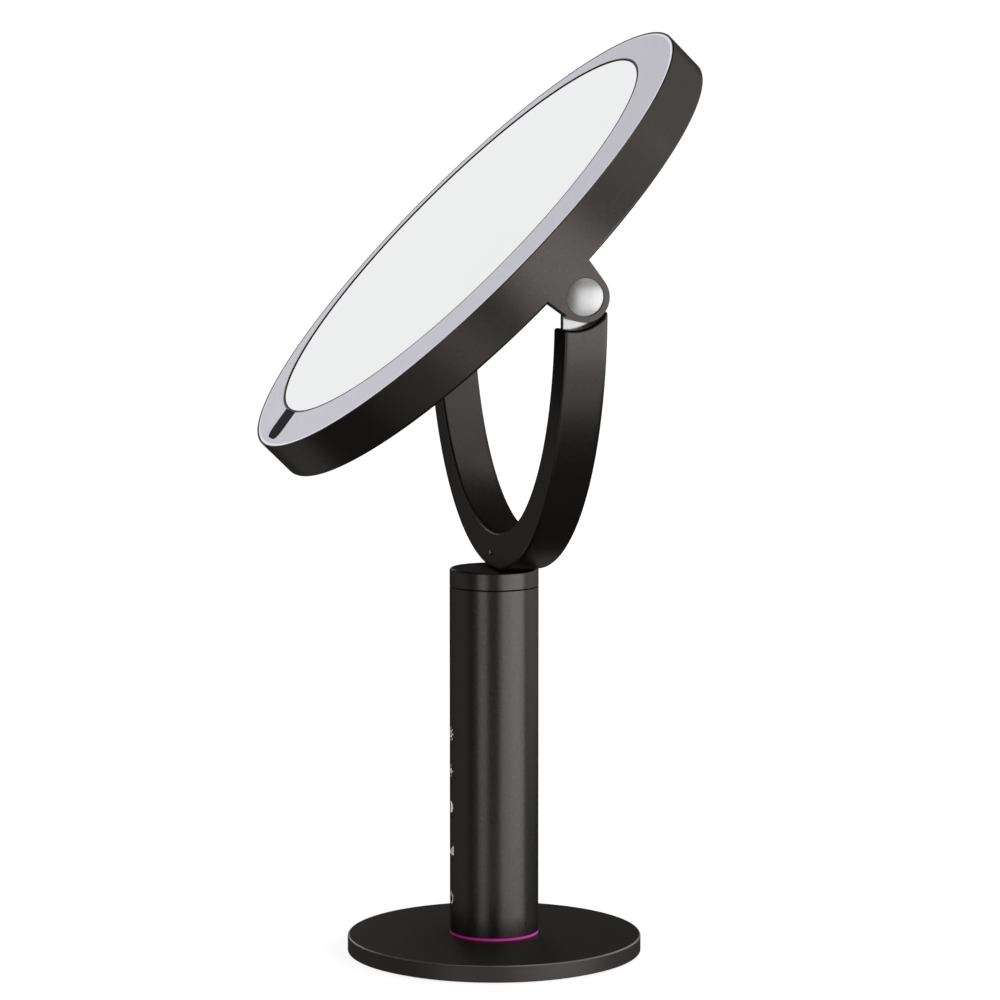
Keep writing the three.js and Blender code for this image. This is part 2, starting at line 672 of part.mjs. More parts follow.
function lugBores(side) {
  return [
    rod(SHAFT.radius + GAP, [side * 100, 0, 0], [side * 130, 0, 0]),
    rod(NUT_POCKET, [side * LUG_WEB_OUTER, 0, 0], [side * 130, 0, 0], 32),
    rod(CAP_RADIUS + GAP, [side * CAP_SINK, 0, 0], [side * 130, 0, 0], 48),
  ];
}

function backScrewBores(radius, from, to) {
  return backScrewPlaces.map(([x, z]) => rod(radius, [x, from, z], [x, to, z], 14));
}

function headRim() {
  const ring = turnedY([
    [LIP_RADIUS, HEAD_FRONT],
    [HEAD_RADIUS, HEAD_FRONT, 0.4],
    [HEAD_RADIUS, HEAD_BACK, 1.2],
    [COVER_RADIUS + GAP, HEAD_BACK],
    [COVER_RADIUS + GAP, LEDGE_FACE],
    [LEDGE_INNER, LEDGE_FACE],
    [LEDGE_INNER, LEDGE_FACE - LEDGE_THICKNESS],
    [COVER_RADIUS + 2.4, LEDGE_FACE - LEDGE_THICKNESS],
    [COVER_RADIUS + 2.4, LEDGE_FACE + 0.2],
    [RIM_INSIDE, LEDGE_FACE + 0.2],
    [RIM_INSIDE, LIP_SEAT],
    [LIP_RADIUS, LIP_SEAT],
  ], HEAD_SEGMENTS);
  const bosses = backScrewBores(3.2, LEDGE_FACE - 3.5, LEDGE_FACE - 0.5);
  const body = join(ring, ...bosses, ...SIDES.map(([, side]) => lug(side)));
  const bores = SIDES.flatMap(([, side]) => lugBores(side));
  return cut(body, ...bores, ...backScrewBores(BACK_SCREW.shank + GAP, -25, 0));
}

function backCover() {
  const face = HEAD_BACK - 0.1;
  const plate = turnedY([
    [0, face],
    [COVER_RADIUS, face, 0.6],
    [COVER_RADIUS, LEDGE_FACE + GAP],
    [0, LEDGE_FACE + GAP],
  ], HEAD_SEGMENTS);
  const sinks = backScrewBores(BACK_SCREW.head + GAP, face - BACK_SCREW.headHeight - GAP, 0);
  return cut(plate, ...sinks, ...backScrewBores(BACK_SCREW.shank + GAP, -20, 0));
}

function backScrew([x, z]) {
  const face = HEAD_BACK - 0.2;
  const under = face - BACK_SCREW.headHeight;
  const headBody = rod(BACK_SCREW.head, [x, under, z], [x, face, z], 20);
  const shank = rod(BACK_SCREW.shank, [x, BACK_SCREW.tip, z], [x, under + 0.5, z], 14);
  return cut(join(headBody, shank), rod(1.1, [x, face - 0.9, z], [x, face + 1, z], 6));
}

function mirrorGlass() {
  return turnedY([
    [0, GLASS_FACE],
    [GLASS_RADIUS, GLASS_FACE, 0.5],
    [GLASS_RADIUS, GLASS_FACE + GLASS_THICKNESS],
    [0, GLASS_FACE + GLASS_THICKNESS],
  ], HEAD_SEGMENTS);
}

function glassRetainer() {
  return turnedY([
    [RETAINER_INNER, GLASS_FACE + 0.2],
    [RETAINER_OUTER, GLASS_FACE + 0.2],
    [RETAINER_OUTER, TRAY_FACE - GAP],
    [RETAINER_INNER, TRAY_FACE - GAP],
  ], HEAD_SEGMENTS);
}

function glassTray() {
  const edge = RIM_INSIDE - 0.6;
  return turnedY([
    [0, TRAY_FACE],
    [TRAY_RADIUS, TRAY_FACE],
    [TRAY_RADIUS, TRAY_FLOOR],
    [edge, TRAY_FLOOR],
    [edge, TRAY_FLOOR + TRAY_WALL],
    [TRAY_RADIUS - TRAY_WALL, TRAY_FLOOR + TRAY_WALL],
    [TRAY_RADIUS - TRAY_WALL, TRAY_FACE + TRAY_WALL],
    [0, TRAY_FACE + TRAY_WALL],
  ], 48);
}

function windowShape(radius) {
  const shape = new THREE.Shape();
  shape.moveTo(-radius, -DIFFUSER_INNER + 4);
  shape.lineTo(-radius, -WINDOW_CENTRE);
  shape.absarc(0, -WINDOW_CENTRE, radius, Math.PI, 2 * Math.PI);
  shape.lineTo(radius, -DIFFUSER_INNER + 4);
  return shape;
}

const windowPrism = (radius) => plateY(windowShape(radius), DIFFUSER_HIGH - 5, TRAY_FLOOR, 0, 24);

// A gently conical ring that rises from the rim's lip to the glass
function conicalRing(proud) {
  return turnedY([
    [DIFFUSER_INNER, DIFFUSER_HIGH - proud],
    [DIFFUSER_OUTER, DIFFUSER_LOW - proud],
    [DIFFUSER_OUTER, DIFFUSER_LOW + DIFFUSER_WALL - 0.5],
    [DIFFUSER_INNER, DIFFUSER_HIGH + DIFFUSER_WALL],
  ], HEAD_SEGMENTS);
}

const diffuserRing = () => conicalRing(0).subtract(windowPrism(WINDOW_RADIUS + GAP));
const sensorWindow = () => conicalRing(0.05).intersect(windowPrism(WINDOW_RADIUS));

function ledRingBoard() {
  const boardBack = TRAY_FLOOR - GAP;
  const boardFront = boardBack - 1.2;
  const board = turnedY([
    [LED_BOARD.inner, boardFront],
    [LED_BOARD.outer, boardFront],
    [LED_BOARD.outer, boardBack],
    [LED_BOARD.inner, boardBack],
  ], 48);
  const leds = onCircle(LED_BOARD.leds, LED_BOARD.circle, 180 / LED_BOARD.leds).map(([x, z]) =>
    block([x - 1.4, boardFront - 0.7, z - 1.4], [x + 1.4, boardFront + 0.3, z + 1.4]));
  return join(board, ...leds);
}

function sensorBoard() {
  const { halfWidth, front, bottom, top, sensorZ } = SENSOR_BOARD;
  const board = block([-halfWidth, front, bottom], [halfWidth, front + 1.2, top]);
  return join(board, rod(2.6, [0, front - 0.7, sensorZ], [0, front + 0.4, sensorZ], 20));
}

function headBoard() {
  const { halfWidth, front, bottom, top } = HEAD_BOARD;
  const board = block([-halfWidth, front, bottom], [halfWidth, front + BOARD_THICKNESS, top]);
  const chips = [[-16, -8, -76, -66], [4, 9, -78, -64]].map(([x0, x1, z0, z1]) =>
    block([x0, front + 1, z0], [x1, front + BOARD_THICKNESS + 1.3, z1]));
  return join(board, ...chips);
}

function ledLead() {
  const bends = [[111, -4], [102, -30], [76, -55], [48, -68], [HEAD_BOARD.halfWidth + 0.8, -70]];
  return tube(1.1, bends.map(([x, z]) => [x, LEAD_Y, z]), 20);
}

function pivotCap(side) {
  return turnedX([
    [0, CAP_SINK + GAP],
    [CAP_RADIUS, CAP_SINK + GAP],
    [CAP_RADIUS, CAP_CROWN - 0.3, 0.5],
    [5, CAP_CROWN - 0.05, 4],
    [0, CAP_CROWN],
  ], side, 32);
}

piece(head, 'head_rim', headRim(), bronze);
piece(head, 'back_cover', backCover(), bronze);
backScrewPlaces.forEach((place, i) => piece(head, `back_screw_${i + 1}`, backScrew(place), plainSteel));
piece(head, 'mirror_glass', mirrorGlass(), silverGlass);
piece(head, 'glass_retainer', glassRetainer(), blackPlastic);
piece(head, 'glass_tray', glassTray(), greyPlastic);
piece(head, 'diffuser_ring', diffuserRing(), opalPlastic);
piece(head, 'sensor_window', sensorWindow(), blackPlastic);
piece(head, 'led_ring_board', ledRingBoard(), circuitBoard);
piece(head, 'sensor_board', sensorBoard(), circuitBoard);
piece(head, 'head_board', headBoard(), circuitBoard);
piece(head, 'led_lead', ledLead(), cableSheath);
SIDES.forEach(([label, side]) => piece(head, `pivot_cap_${label}`, pivotCap(side), brightSteel));

export default group;
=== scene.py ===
import json
import math

import bmesh
import bpy
from mathutils import Matrix, Vector


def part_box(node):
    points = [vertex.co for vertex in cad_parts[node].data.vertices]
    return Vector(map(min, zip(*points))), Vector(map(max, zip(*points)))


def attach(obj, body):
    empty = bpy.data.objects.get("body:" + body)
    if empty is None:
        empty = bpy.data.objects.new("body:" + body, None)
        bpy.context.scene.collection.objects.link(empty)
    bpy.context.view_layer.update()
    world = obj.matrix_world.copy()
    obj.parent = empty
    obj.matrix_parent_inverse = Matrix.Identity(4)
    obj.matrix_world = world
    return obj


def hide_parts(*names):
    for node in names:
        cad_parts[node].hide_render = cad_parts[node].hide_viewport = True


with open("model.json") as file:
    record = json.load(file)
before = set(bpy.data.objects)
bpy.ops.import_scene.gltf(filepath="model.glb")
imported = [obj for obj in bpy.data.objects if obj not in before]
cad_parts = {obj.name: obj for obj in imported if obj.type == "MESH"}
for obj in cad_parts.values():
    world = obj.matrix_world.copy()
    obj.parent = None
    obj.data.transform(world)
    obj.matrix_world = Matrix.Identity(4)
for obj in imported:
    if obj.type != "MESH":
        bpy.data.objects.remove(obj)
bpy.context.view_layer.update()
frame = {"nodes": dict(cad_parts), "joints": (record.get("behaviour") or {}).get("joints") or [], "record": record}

# Looks of a lit tabletop vanity mirror. Shapes are written in millimetres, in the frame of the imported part:
# +Z up, front towards -Y, the head tilts about X. Every mesh is scaled to metres when it becomes an object.
MM = 0.001
GAP = 0.3                       # clearance between neighbouring pieces
TOUCHING = 1e-4                 # points closer than this are one point


def extent(node, axis):
    """Lowest and highest place of a CAD node along one axis, in millimetres."""
    low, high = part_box(node)
    return low[axis] / MM, high[axis] / MM


X, Y, Z = 0, 1, 2

# ---------------------------------------------------------------- sizes, from the frame where it has them
BASE_RADIUS = extent("base_cover", X)[1]
BASE_SKIRT, BASE_TOP = extent("base_cover", Z)
BASE_WALL = 1.5
PAD_RADIUS = extent("base_pad", X)[1]
PAD_TOP = extent("base_pad", Z)[1]
GROOVES = 6                     # rings pressed into the underside of the pad
GROOVE_MARGIN = 6
GROOVE_PITCH = 5
GROOVE_WIDTH = 1.6
GROOVE_SLOPE = 0.4
GROOVE_DEPTH = 0.35
COLUMN_RADIUS = extent("column_tube", X)[1]
TUBE_BOTTOM, TUBE_TOP = extent("column_tube", Z)
COLUMN_BORE = COLUMN_RADIUS - 2.2
CUT_INSIDE, CUT_OUTSIDE = 10, 25     # holes in the tube are cut between these distances from its axis
CAP_BOTTOM = TUBE_TOP + GAP
COLUMN_TOP = extent("column_cap", Z)[1]
SLEEVE_END = CAP_BOTTOM - 8     # the cap's sleeve, inside the tube
SLEEVE_INNER = COLUMN_BORE - 2.3
CAP_CEILING = COLUMN_TOP - 4.2
GLOW_BOTTOM, GLOW_TOP = extent("glow_ring", Z)
GLOW_INNER = 13
ICON_RADIUS = (extent("touch_icon_1", X)[1] - extent("touch_icon_1", X)[0]) / 2
ICON_BACK = extent("touch_icon_1", Y)[1]
ICON_HEIGHTS = [sum(extent(f"touch_icon_{i}", Z)) / 2 for i in range(1, 6)]
PORT_Z = sum(extent("charging_port", Z)) / 2
PORT_FACE = extent("charging_port", Y)[1]
PORT_WIDTH, PORT_HEIGHT = 9, 3.3
PORT_WALL = 0.4
PORT_LENGTH = 8.5
PORT_DEPTH = 7
PORT_TONGUE_WIDTH, PORT_TONGUE_HEIGHT = 6.4, 0.7

YOKE_FRONT, YOKE_BACK = extent("yoke", Y)
YOKE_SEAT = COLUMN_TOP + GAP
YOKE_OUTER, YOKE_OUTER_Z = 114.5, 279.4
YOKE_INNER, YOKE_INNER_Z = 98.1, 278.3
YOKE_EDGE = 1.3
YOKE_MARGIN = 2.4               # plain strip along each edge, wide enough for the rounding
YOKE_STEPS = 104                # facets along each arc
ARM_INSIDE = 92                 # clear of the arms' inner faces
SADDLE_RADIUS, SADDLE_Y, SADDLE_Z = 16.3, 2.6, 288.6
GRUB_Z = sum(extent("yoke_grub_screw", Z)) / 2
GRUB_RADIUS = 1.1
GRUB_DEPTH = 4
LINER_LOW, LINER_HIGH = extent("yoke_liner", Y)
LINER_END_Z = extent("yoke_liner", Z)[1]
LINER_START = 269               # degrees, just left of the yoke's lowest point at 270
LINER_THICKNESS = 1.2
LINER_GROOVE = 2.4

HINGE = frame["joints"][0]["pos_m"]
PIVOT_Y, PIVOT_Z = HINGE[1] / MM, HINGE[2] / MM
REST_TILT = 44.6                # degrees that the head leans back at rest
TONGUE_INNER, TONGUE_OUTER = extent("hinge_tongue_right", X)
TONGUE_HALF = (extent("hinge_tongue_right", Y)[1] - extent("hinge_tongue_right", Y)[0]) / 2
TONGUE_BOTTOM = extent("hinge_tongue_right", Z)[0]
TONGUE_SCREW_Y = sum(extent("tongue_screw_right", Y)) / 2
TONGUE_SCREW_Z = sum(extent("tongue_screw_right", Z)) / 2
TONGUE_SCREW_INNER, TONGUE_SCREW_TIP = extent("tongue_screw_right", X)
TONGUE_SCREW_HEAD = 2.4
TONGUE_SCREW_SHANK = 1.3
TONGUE_SCREW_NECK = TONGUE_SCREW_INNER + 2
SHAFT_INNER, SHAFT_END = extent("pivot_shaft_right", X)
SHAFT_BORE, SHAFT_RADIUS, SHAFT_HEAD = 1.3, 3, 5
WASHER_INNER, WASHER_OUTER = extent("friction_washer_right", X)
WASHER_RADIUS = 7.6
CAP_INNER, CAP_OUTER = extent("pivot_cap_right", X)
CAP_RADIUS = 7.6
CAP_SAG = 1.0                   # how far the cap's dome falls from its middle to its edge

HEAD_RADIUS = extent("head_rim", X)[1]
HEAD_BACK = -8.8                # in the head's own Y, measured from the pivots; its front is towards -Y
HEAD_FRONT = HEAD_BACK - 18.5
GLASS_RADIUS = extent("mirror_glass", X)[1]
GLASS_FACE = HEAD_FRONT - 2.15
GLASS_THICKNESS = 4
GLASS_SINK = 0.35               # how far the glass lies below its retainer
COVER_RADIUS = extent("back_cover", X)[1]
LEDGE_FACE = HEAD_BACK - 2.6    # the ledge inside the rim that carries the back cover
LEDGE_INNER = 95
LEDGE_ROOT = COVER_RADIUS + 2.4
LEDGE_UNDER = LEDGE_FACE - 1.8
RIM_INNER = HEAD_RADIUS - 2.8
LIP_RADIUS = HEAD_RADIUS - 0.8
LIP_UNDER = HEAD_FRONT + 1.3
RETAINER_INNER = GLASS_RADIUS + GAP * 0.3
RETAINER_OUTER = extent("glass_retainer", X)[1]
RETAINER_FACE = GLASS_FACE + 0.02
RETAINER_LIP = GLASS_RADIUS + 0.85   # the part of the retainer that shows
DIFFUSER_INNER = RETAINER_LIP + 0.1
DIFFUSER_OUTER = LIP_RADIUS - 0.1
DIFFUSER_LOW = HEAD_FRONT + 0.2
DIFFUSER_HIGH = GLASS_FACE + 0.05
DIFFUSER_WALL = 1.6
HIGHLIGHT_BAND_WIDTH = 0.9               # the outer band of the light ring, which glows brighter than the rest: a painted highlight of its edge
WINDOW_RADIUS = extent("sensor_window", X)[1]
WINDOW_CENTRE = 107.2           # below the head's middle, along its face
WINDOW_END = WINDOW_CENTRE + WINDOW_RADIUS
WINDOW_ROUNDING = 5
WINDOW_CLEARANCE = 0.12
RING_CUT_LOW, RING_CUT_HIGH = -35, -15     # from in front of the light ring to behind it
LUG_RADIUS = 10
LUG_ROOT = 11.5
LUG_EDGE = 1.2
LUG_INNER = WASHER_OUTER + GAP
LUG_WEB_OUTER = 113.7
LUG_RECESS = 6.2
LUG_HOLE_START, LUG_HOLE_END = 100, 130
BACK_SCREWS = 6
BACK_SCREW_CIRCLE = 99.6
BACK_SCREW_HEAD = 2.5
BACK_SCREW_SHANK = 1.3
BACK_SCREW_TIP = -14.6

# ---------------------------------------------------------------- placing
UP = Matrix()                                               # leaves a turning axis along +Z
ALONG_Y = Matrix.Rotation(-math.pi / 2, 4, "X")             # lays a turning axis along +Y
HEAD = Matrix.Translation((0, PIVOT_Y, PIVOT_Z)) @ Matrix.Rotation(-math.radians(REST_TILT), 4, "X")
HEAD_TURNED = HEAD @ ALONG_Y
SIDES = (("left", -1), ("right", 1))


def hinge_side(side):
    """A turning axis laid along the pivots, pointing outwards on that side."""
    return Matrix.Translation((0, PIVOT_Y, PIVOT_Z)) @ Matrix.Rotation(side * math.pi / 2, 4, "Y")


# ---------------------------------------------------------------- mesh tools
def outline(corners, closed, steps=6):
    """Corners are (x, y, rounding). A rounded corner becomes an arc."""
    points = []
    count = len(corners)
    for i, corner in enumerate(corners):
        here = Vector(corner[:2])
        radius = corner[2] if len(corner) > 2 else 0
        if not radius or (not closed and i in (0, count - 1)):
            points.append(here)
            continue
        before = (Vector(corners[i - 1][:2]) - here).normalized()
        after = (Vector(corners[(i + 1) % count][:2]) - here).normalized()
        half = before.angle(after) / 2
        reach = radius / math.tan(half)
        centre = here + (before + after).normalized() * (radius / math.sin(half))
        start = here + before * reach - centre
        end = here + after * reach - centre
        first = math.atan2(start.y, start.x)
        turn = math.atan2(end.y, end.x) - first
        turn = math.atan2(math.sin(turn), math.cos(turn))
        for step in range(steps + 1):
            angle = first + turn * step / steps
            points.append(centre + radius * Vector((math.cos(angle), math.sin(angle))))
    return points


def turned(corners, segments=192, steps=6):
    """A body turned about Z. Corners are (radius, height, rounding)."""
    on_axis = corners[0][0] == 0
    bm = bmesh.new()
    rings = []
    for radius, height in outline(corners, not on_axis, steps):
        if radius < 1e-6:
            rings.append([bm.verts.new((0, 0, height))])
            continue
        angles = [2 * math.pi * i / segments for i in range(segments)]
        rings.append([bm.verts.new((radius * math.cos(a), radius * math.sin(a), height)) for a in angles])
    following = rings[1:] if on_axis else rings[1:] + rings[:1]
    for low, high in zip(rings, following):
        for i in range(segments):
            j = (i + 1) % segments
            loop = [low[i % len(low)], low[j % len(low)], high[j % len(high)], high[i % len(high)]]
            bm.faces.new(list(dict.fromkeys(loop)))
    bmesh.ops.recalc_face_normals(bm, faces=bm.faces)
    return bm


def prism(points, low, high, axes=(X, Y, Z)):
    """A flat outline drawn in the first two axes and given its depth along the third."""
    bm = bmesh.new()
    ends = []
    for depth in (low, high):
        ring = []
        for u, v in points:
            place = [0, 0, 0]
            place[axes[0]], place[axes[1]], place[axes[2]] = u, v, depth
            ring.append(bm.verts.new(place))
        ends.append(ring)
    for i in range(len(points)):
        j = (i + 1) % len(points)
        bm.faces.new((ends[0][i], ends[0][j], ends[1][j], ends[1][i]))
    bm.faces.new(ends[0])
    bm.faces.new(ends[1])
    bmesh.ops.recalc_face_normals(bm, faces=bm.faces)
    return bm


def rectangle(left, right, low, high):
    return [(left, low), (right, low), (right, high), (left, high)]


def rod(radius, start, end, segments=64):
    bm = bmesh.new()
    start, end = Vector(start), Vector(end)
    turn = (end - start).to_track_quat("Z", "Y").to_matrix().to_4x4()
    bmesh.ops.create_cone(
        bm, cap_ends=True, segments=segments, radius1=radius, radius2=radius, depth=(end - start).length,
        matrix=Matrix.Translation((start + end) / 2) @ turn,
    )
    return bm


def arc(centre, radius, first, last, steps):
    angles = [math.radians(first + (last - first) * i / steps) for i in range(steps + 1)]
    return [(centre[0] + radius * math.cos(a), centre[1] + radius * math.sin(a)) for a in angles]


def slot_outline(width, height, centre):
    reach = (width - height) / 2
    right = arc((centre[0] + reach, centre[1]), height / 2, -90, 90, 12)
    return right + arc((centre[0] - reach, centre[1]), height / 2, 90, 270, 12)


def moved(bm, matrix):
    bmesh.ops.transform(bm, matrix=matrix, verts=bm.verts)
    return bm


def scratch_object(bm):
    mesh = bpy.data.meshes.new("scratch")
    bm.to_mesh(mesh)
    bm.free()
    thing = bpy.data.objects.new("scratch", mesh)
    bpy.context.scene.collection.objects.link(thing)
    return thing


def combined(bm, tools, operation="DIFFERENCE"):
    """Cuts or joins closed meshes one after another and returns the result."""
    body = scratch_object(bm)
    helpers = [scratch_object(tool) for tool in tools]
    for helper in helpers:
        step = body.modifiers.new("step", "BOOLEAN")
        step.operation = operation
        step.solver = "MANIFOLD"
        step.object = helper
    result = bmesh.new()
    result.from_object(body, bpy.context.evaluated_depsgraph_get())
    for thing in [body, *helpers]:
        mesh = thing.data
        bpy.data.objects.remove(thing)
        bpy.data.meshes.remove(mesh)
    bmesh.ops.remove_doubles(result, verts=result.verts, dist=TOUCHING)
    bmesh.ops.dissolve_degenerate(result, edges=result.edges, dist=TOUCHING)
    return result


def bevelled(bm, width, segments=3, angle=40):
    """Rounds every edge that turns by more than the angle."""
    edges = [e for e in bm.edges if e.is_manifold and e.calc_face_angle() > math.radians(angle)]
    bmesh.ops.bevel(
        bm, geom=edges, offset=width, segments=segments, profile=0.5, affect="EDGES", clamp_overlap=True,
    )
    return bm


def piece(name, bm, body, looks, replaces, matrix=UP, sharp=35):
    """Makes one finished object: metres, smooth faces with sharp corners kept, riding on its body."""
    moved(bm, Matrix.Diagonal((MM, MM, MM, 1)) @ matrix)
    bmesh.ops.recalc_face_normals(bm, faces=bm.faces)
    for face in bm.faces:
        face.smooth = True
    for edge in bm.edges:
        edge.smooth = not edge.is_manifold or edge.calc_face_angle() < math.radians(sharp)
    mesh = bpy.data.meshes.new(name)
    bm.to_mesh(mesh)
    bm.free()
    thing = bpy.data.objects.new(name, mesh)
    bpy.context.scene.collection.objects.link(thing)
    for look in looks if isinstance(looks, list) else [looks]:
        mesh.materials.append(look)
    even = thing.modifiers.new("even_normals", "WEIGHTED_NORMAL")
    even.keep_sharp = True
    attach(thing, body)
    if replaces:
        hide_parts(*replaces)
    return thing


# ---------------------------------------------------------------- material tools
def surface(material):
    """The sockets of the material's own shader."""
    return material.node_tree.nodes["Principled BSDF"].inputs


def shader(name, color, roughness, metallic=0.0, **sockets):
    """A new material. Other sockets are given by name, with _ for a space."""
    material = bpy.data.materials.new(name)
    material.use_nodes = True
    surface(material)["Base Color"].default_value = (*color, 1)
    surface(material)["Roughness"].default_value = roughness
    surface(material)["Metallic"].default_value = metallic
    for socket, value in sockets.items():
        surface(material)[socket.replace("_", " ")].default_value = value
    return material


def node(material, kind, **settings):
    """Adds a node. A setting is one of its properties or else an input, with _ for a space."""
    made = material.node_tree.nodes.new(kind)
    for key, value in settings.items():
        if hasattr(made, key):
            setattr(made, key, value)
        else:
            made.inputs[key.replace("_", " ")].default_value = value
    return made


def link(material, source, target):
    material.node_tree.links.new(source, target)


def noise(material, scale, detail=3.0, stretch=(1, 1, 1)):
    """Noise in the object's own metres; scale is in cells per metre."""
    place = node(material, "ShaderNodeTexCoord")
    mapping = node(material, "ShaderNodeMapping")
    mapping.inputs["Scale"].default_value = stretch
    texture = node(material, "ShaderNodeTexNoise", Scale=scale, Detail=detail)
    link(material, place.outputs["Object"], mapping.inputs["Vector"])
    link(material, mapping.outputs["Vector"], texture.inputs["Vector"])
    return texture.outputs["Fac"]


def spread(material, value, low, high):
    """Maps noise, which lies mostly between 0.3 and 0.7, to a range."""
    mapped = node(material, "ShaderNodeMapRange")
    mapped.inputs["From Min"].default_value = 0.3
    mapped.inputs["From Max"].default_value = 0.7
    mapped.inputs["To Min"].default_value = low
    mapped.inputs["To Max"].default_value = high
    link(material, value, mapped.inputs["Value"])
    return mapped.outputs["Result"]


def mottled(material, value, first, second):
    """Blends two colours by a value and feeds the base colour."""
    mix = node(material, "ShaderNodeMix", data_type="RGBA")
    mix.inputs[6].default_value = (*first, 1)
    mix.inputs[7].default_value = (*second, 1)
    link(material, value, mix.inputs[0])
    link(material, mix.outputs[2], surface(material)["Base Color"])


def roughened(material, value):
    link(material, value, surface(material)["Roughness"])


def bumped(material, value, strength, distance):
    bump = node(material, "ShaderNodeBump", Strength=strength, Distance=distance)
    link(material, value, bump.inputs["Height"])
    link(material, bump.outputs["Normal"], surface(material)["Normal"])


# ---------------------------------------------------------------- materials
def bronze_coat(name, roughness, edge):
    """Satin dark bronze-grey coating with fine metallic grain; edge is its shine at a shallow angle."""
    look = shader(name, (0.155, 0.142, 0.135), roughness, 1.0, Specular_Tint=(edge, edge, edge, 1))
    mottled(look, spread(look, noise(look, 900, 2), 0, 1), (0.150, 0.137, 0.130), (0.160, 0.147, 0.140))
    roughened(look, spread(look, noise(look, 700, 3), roughness - 0.03, roughness + 0.03))
    bumped(look, noise(look, 2600, 2), 0.05, 0.00003)
    return look


def painted_highlight_metal():
    """A lighter copy of the metal for the base's top rounding: a painted highlight along that edge."""
    look = shader("painted_highlight_metal", (0.50, 0.47, 0.45), 0.35, 1.0)
    roughened(look, spread(look, noise(look, 1200, 3), 0.32, 0.4))
    bumped(look, noise(look, 2600, 2), 0.05, 0.00002)
    return look


def polished_steel():
    """Nearly a mirror, with a faint grain that lies level."""
    look = shader("polished_steel", (0.82, 0.82, 0.84), 0.14, 1.0)
    roughened(look, spread(look, noise(look, 1500, 3, (1, 1, 14)), 0.11, 0.19))
    bumped(look, noise(look, 3200, 2, (1, 1, 20)), 0.04, 0.00002)
    return look


def satin_steel():
    """Finely brushed steel, the grain running up and down."""
    look = shader("satin_steel", (0.90, 0.90, 0.91), 0.3, 1.0)
    brush = noise(look, 900, 4, (1, 18, 1))
    roughened(look, spread(look, brush, 0.26, 0.34))
    bumped(look, brush, 0.06, 0.00002)
    return look


def zinc_steel():
    look = shader("zinc_steel", (0.36, 0.37, 0.38), 0.42, 1.0)
    roughened(look, spread(look, noise(look, 1400, 4), 0.34, 0.5))
    bumped(look, noise(look, 2400, 3), 0.1, 0.00003)
    return look


def moulded(name, color, roughness, grain=1800, depth=0.00004):
    look = shader(name, color, roughness, 0.0, Specular_IOR_Level=0.3)
    darker = [0.86 * c for c in color]
    mottled(look, spread(look, noise(look, grain / 6, 2), 0, 1), darker, color)
    roughened(look, spread(look, noise(look, grain / 3, 3), roughness - 0.06, roughness + 0.06))
    bumped(look, noise(look, grain, 3), 0.2, depth)
    return look


def mirror_silver():
    look = shader("mirror_silver", (0.93, 0.935, 0.94), 0.0, 1.0)
    mottled(look, spread(look, noise(look, 25, 2), 0, 1), (0.925, 0.93, 0.935), (0.935, 0.94, 0.945))
    return look


def glass_edge():
    look = shader("glass_edge", (0.16, 0.19, 0.19), 0.12, 0.0, Coat_Weight=0.6)
    mottled(look, spread(look, noise(look, 400, 2), 0, 1), (0.10, 0.12, 0.13), (0.17, 0.20, 0.21))
    return look


def opal(name, glow):
    """Frosted plastic lit from behind, faintly violet."""
    light = {"Emission_Color": (0.78, 0.77, 0.85, 1), "Emission_Strength": glow}
    look = shader(name, (0.55, 0.55, 0.59), 0.45, 0.0, Specular_IOR_Level=0.3, **light)
    mottled(look, spread(look, noise(look, 260, 2), 0, 1), (0.53, 0.53, 0.57), (0.56, 0.56, 0.60))
    bumped(look, noise(look, 2200, 2), 0.08, 0.00004)
    return look


def dark_window():
    look = shader("dark_window", (0.016, 0.015, 0.02), 0.5, 0.0, Specular_IOR_Level=0.03)
    mottled(look, spread(look, noise(look, 700, 3), 0, 1), (0.012, 0.011, 0.016), (0.026, 0.025, 0.032))
    bumped(look, noise(look, 1200, 2), 0.1, 0.00003)
    return look


def glow_magenta():
    """A lit line that is brighter towards the back."""
    look = shader("glow_magenta", (0.12, 0.01, 0.07), 0.4, 0.0, Emission_Strength=0.75)
    place = node(look, "ShaderNodeTexCoord")
    parts = node(look, "ShaderNodeSeparateXYZ")
    along = node(look, "ShaderNodeMapRange")
    along.inputs["From Min"].default_value = -COLUMN_RADIUS * MM
    along.inputs["From Max"].default_value = COLUMN_RADIUS * MM
    mix = node(look, "ShaderNodeMix", data_type="RGBA")
    mix.inputs[6].default_value = (0.20, 0.005, 0.06, 1)
    mix.inputs[7].default_value = (0.62, 0.07, 0.42, 1)
    link(look, place.outputs["Object"], parts.inputs["Vector"])
    link(look, parts.outputs["Y"], along.inputs["Value"])
    link(look, along.outputs["Result"], mix.inputs[0])
    link(look, mix.outputs[2], surface(look)["Emission Color"])
    roughened(look, spread(look, noise(look, 300, 2), 0.35, 0.45))
    return look


def pale_symbol():
    light = {"Emission_Color": (0.8, 0.8, 0.78, 1), "Emission_Strength": 0.25}
    look = shader("pale_symbol", (0.62, 0.62, 0.60), 0.4, 0.0, **light)
    mottled(look, spread(look, noise(look, 900, 2), 0, 1), (0.56, 0.56, 0.55), (0.66, 0.66, 0.64))
    return look


def circuit_green():
    """Lacquered board with paler tracks."""
    look = shader("circuit_green", (0.02, 0.16, 0.06), 0.35, 0.0, Coat_Weight=0.4)
    place = node(look, "ShaderNodeTexCoord")
    tracks = node(look, "ShaderNodeTexVoronoi", feature="DISTANCE_TO_EDGE", distance="MANHATTAN", Scale=420.0)
    step = node(look, "ShaderNodeMath", operation="LESS_THAN")
    step.inputs[1].default_value = 0.08
    link(look, place.outputs["Object"], tracks.inputs["Vector"])
    link(look, tracks.outputs["Distance"], step.inputs[0])
    mottled(look, step.outputs[0], (0.012, 0.11, 0.04), (0.05, 0.26, 0.10))
    return look


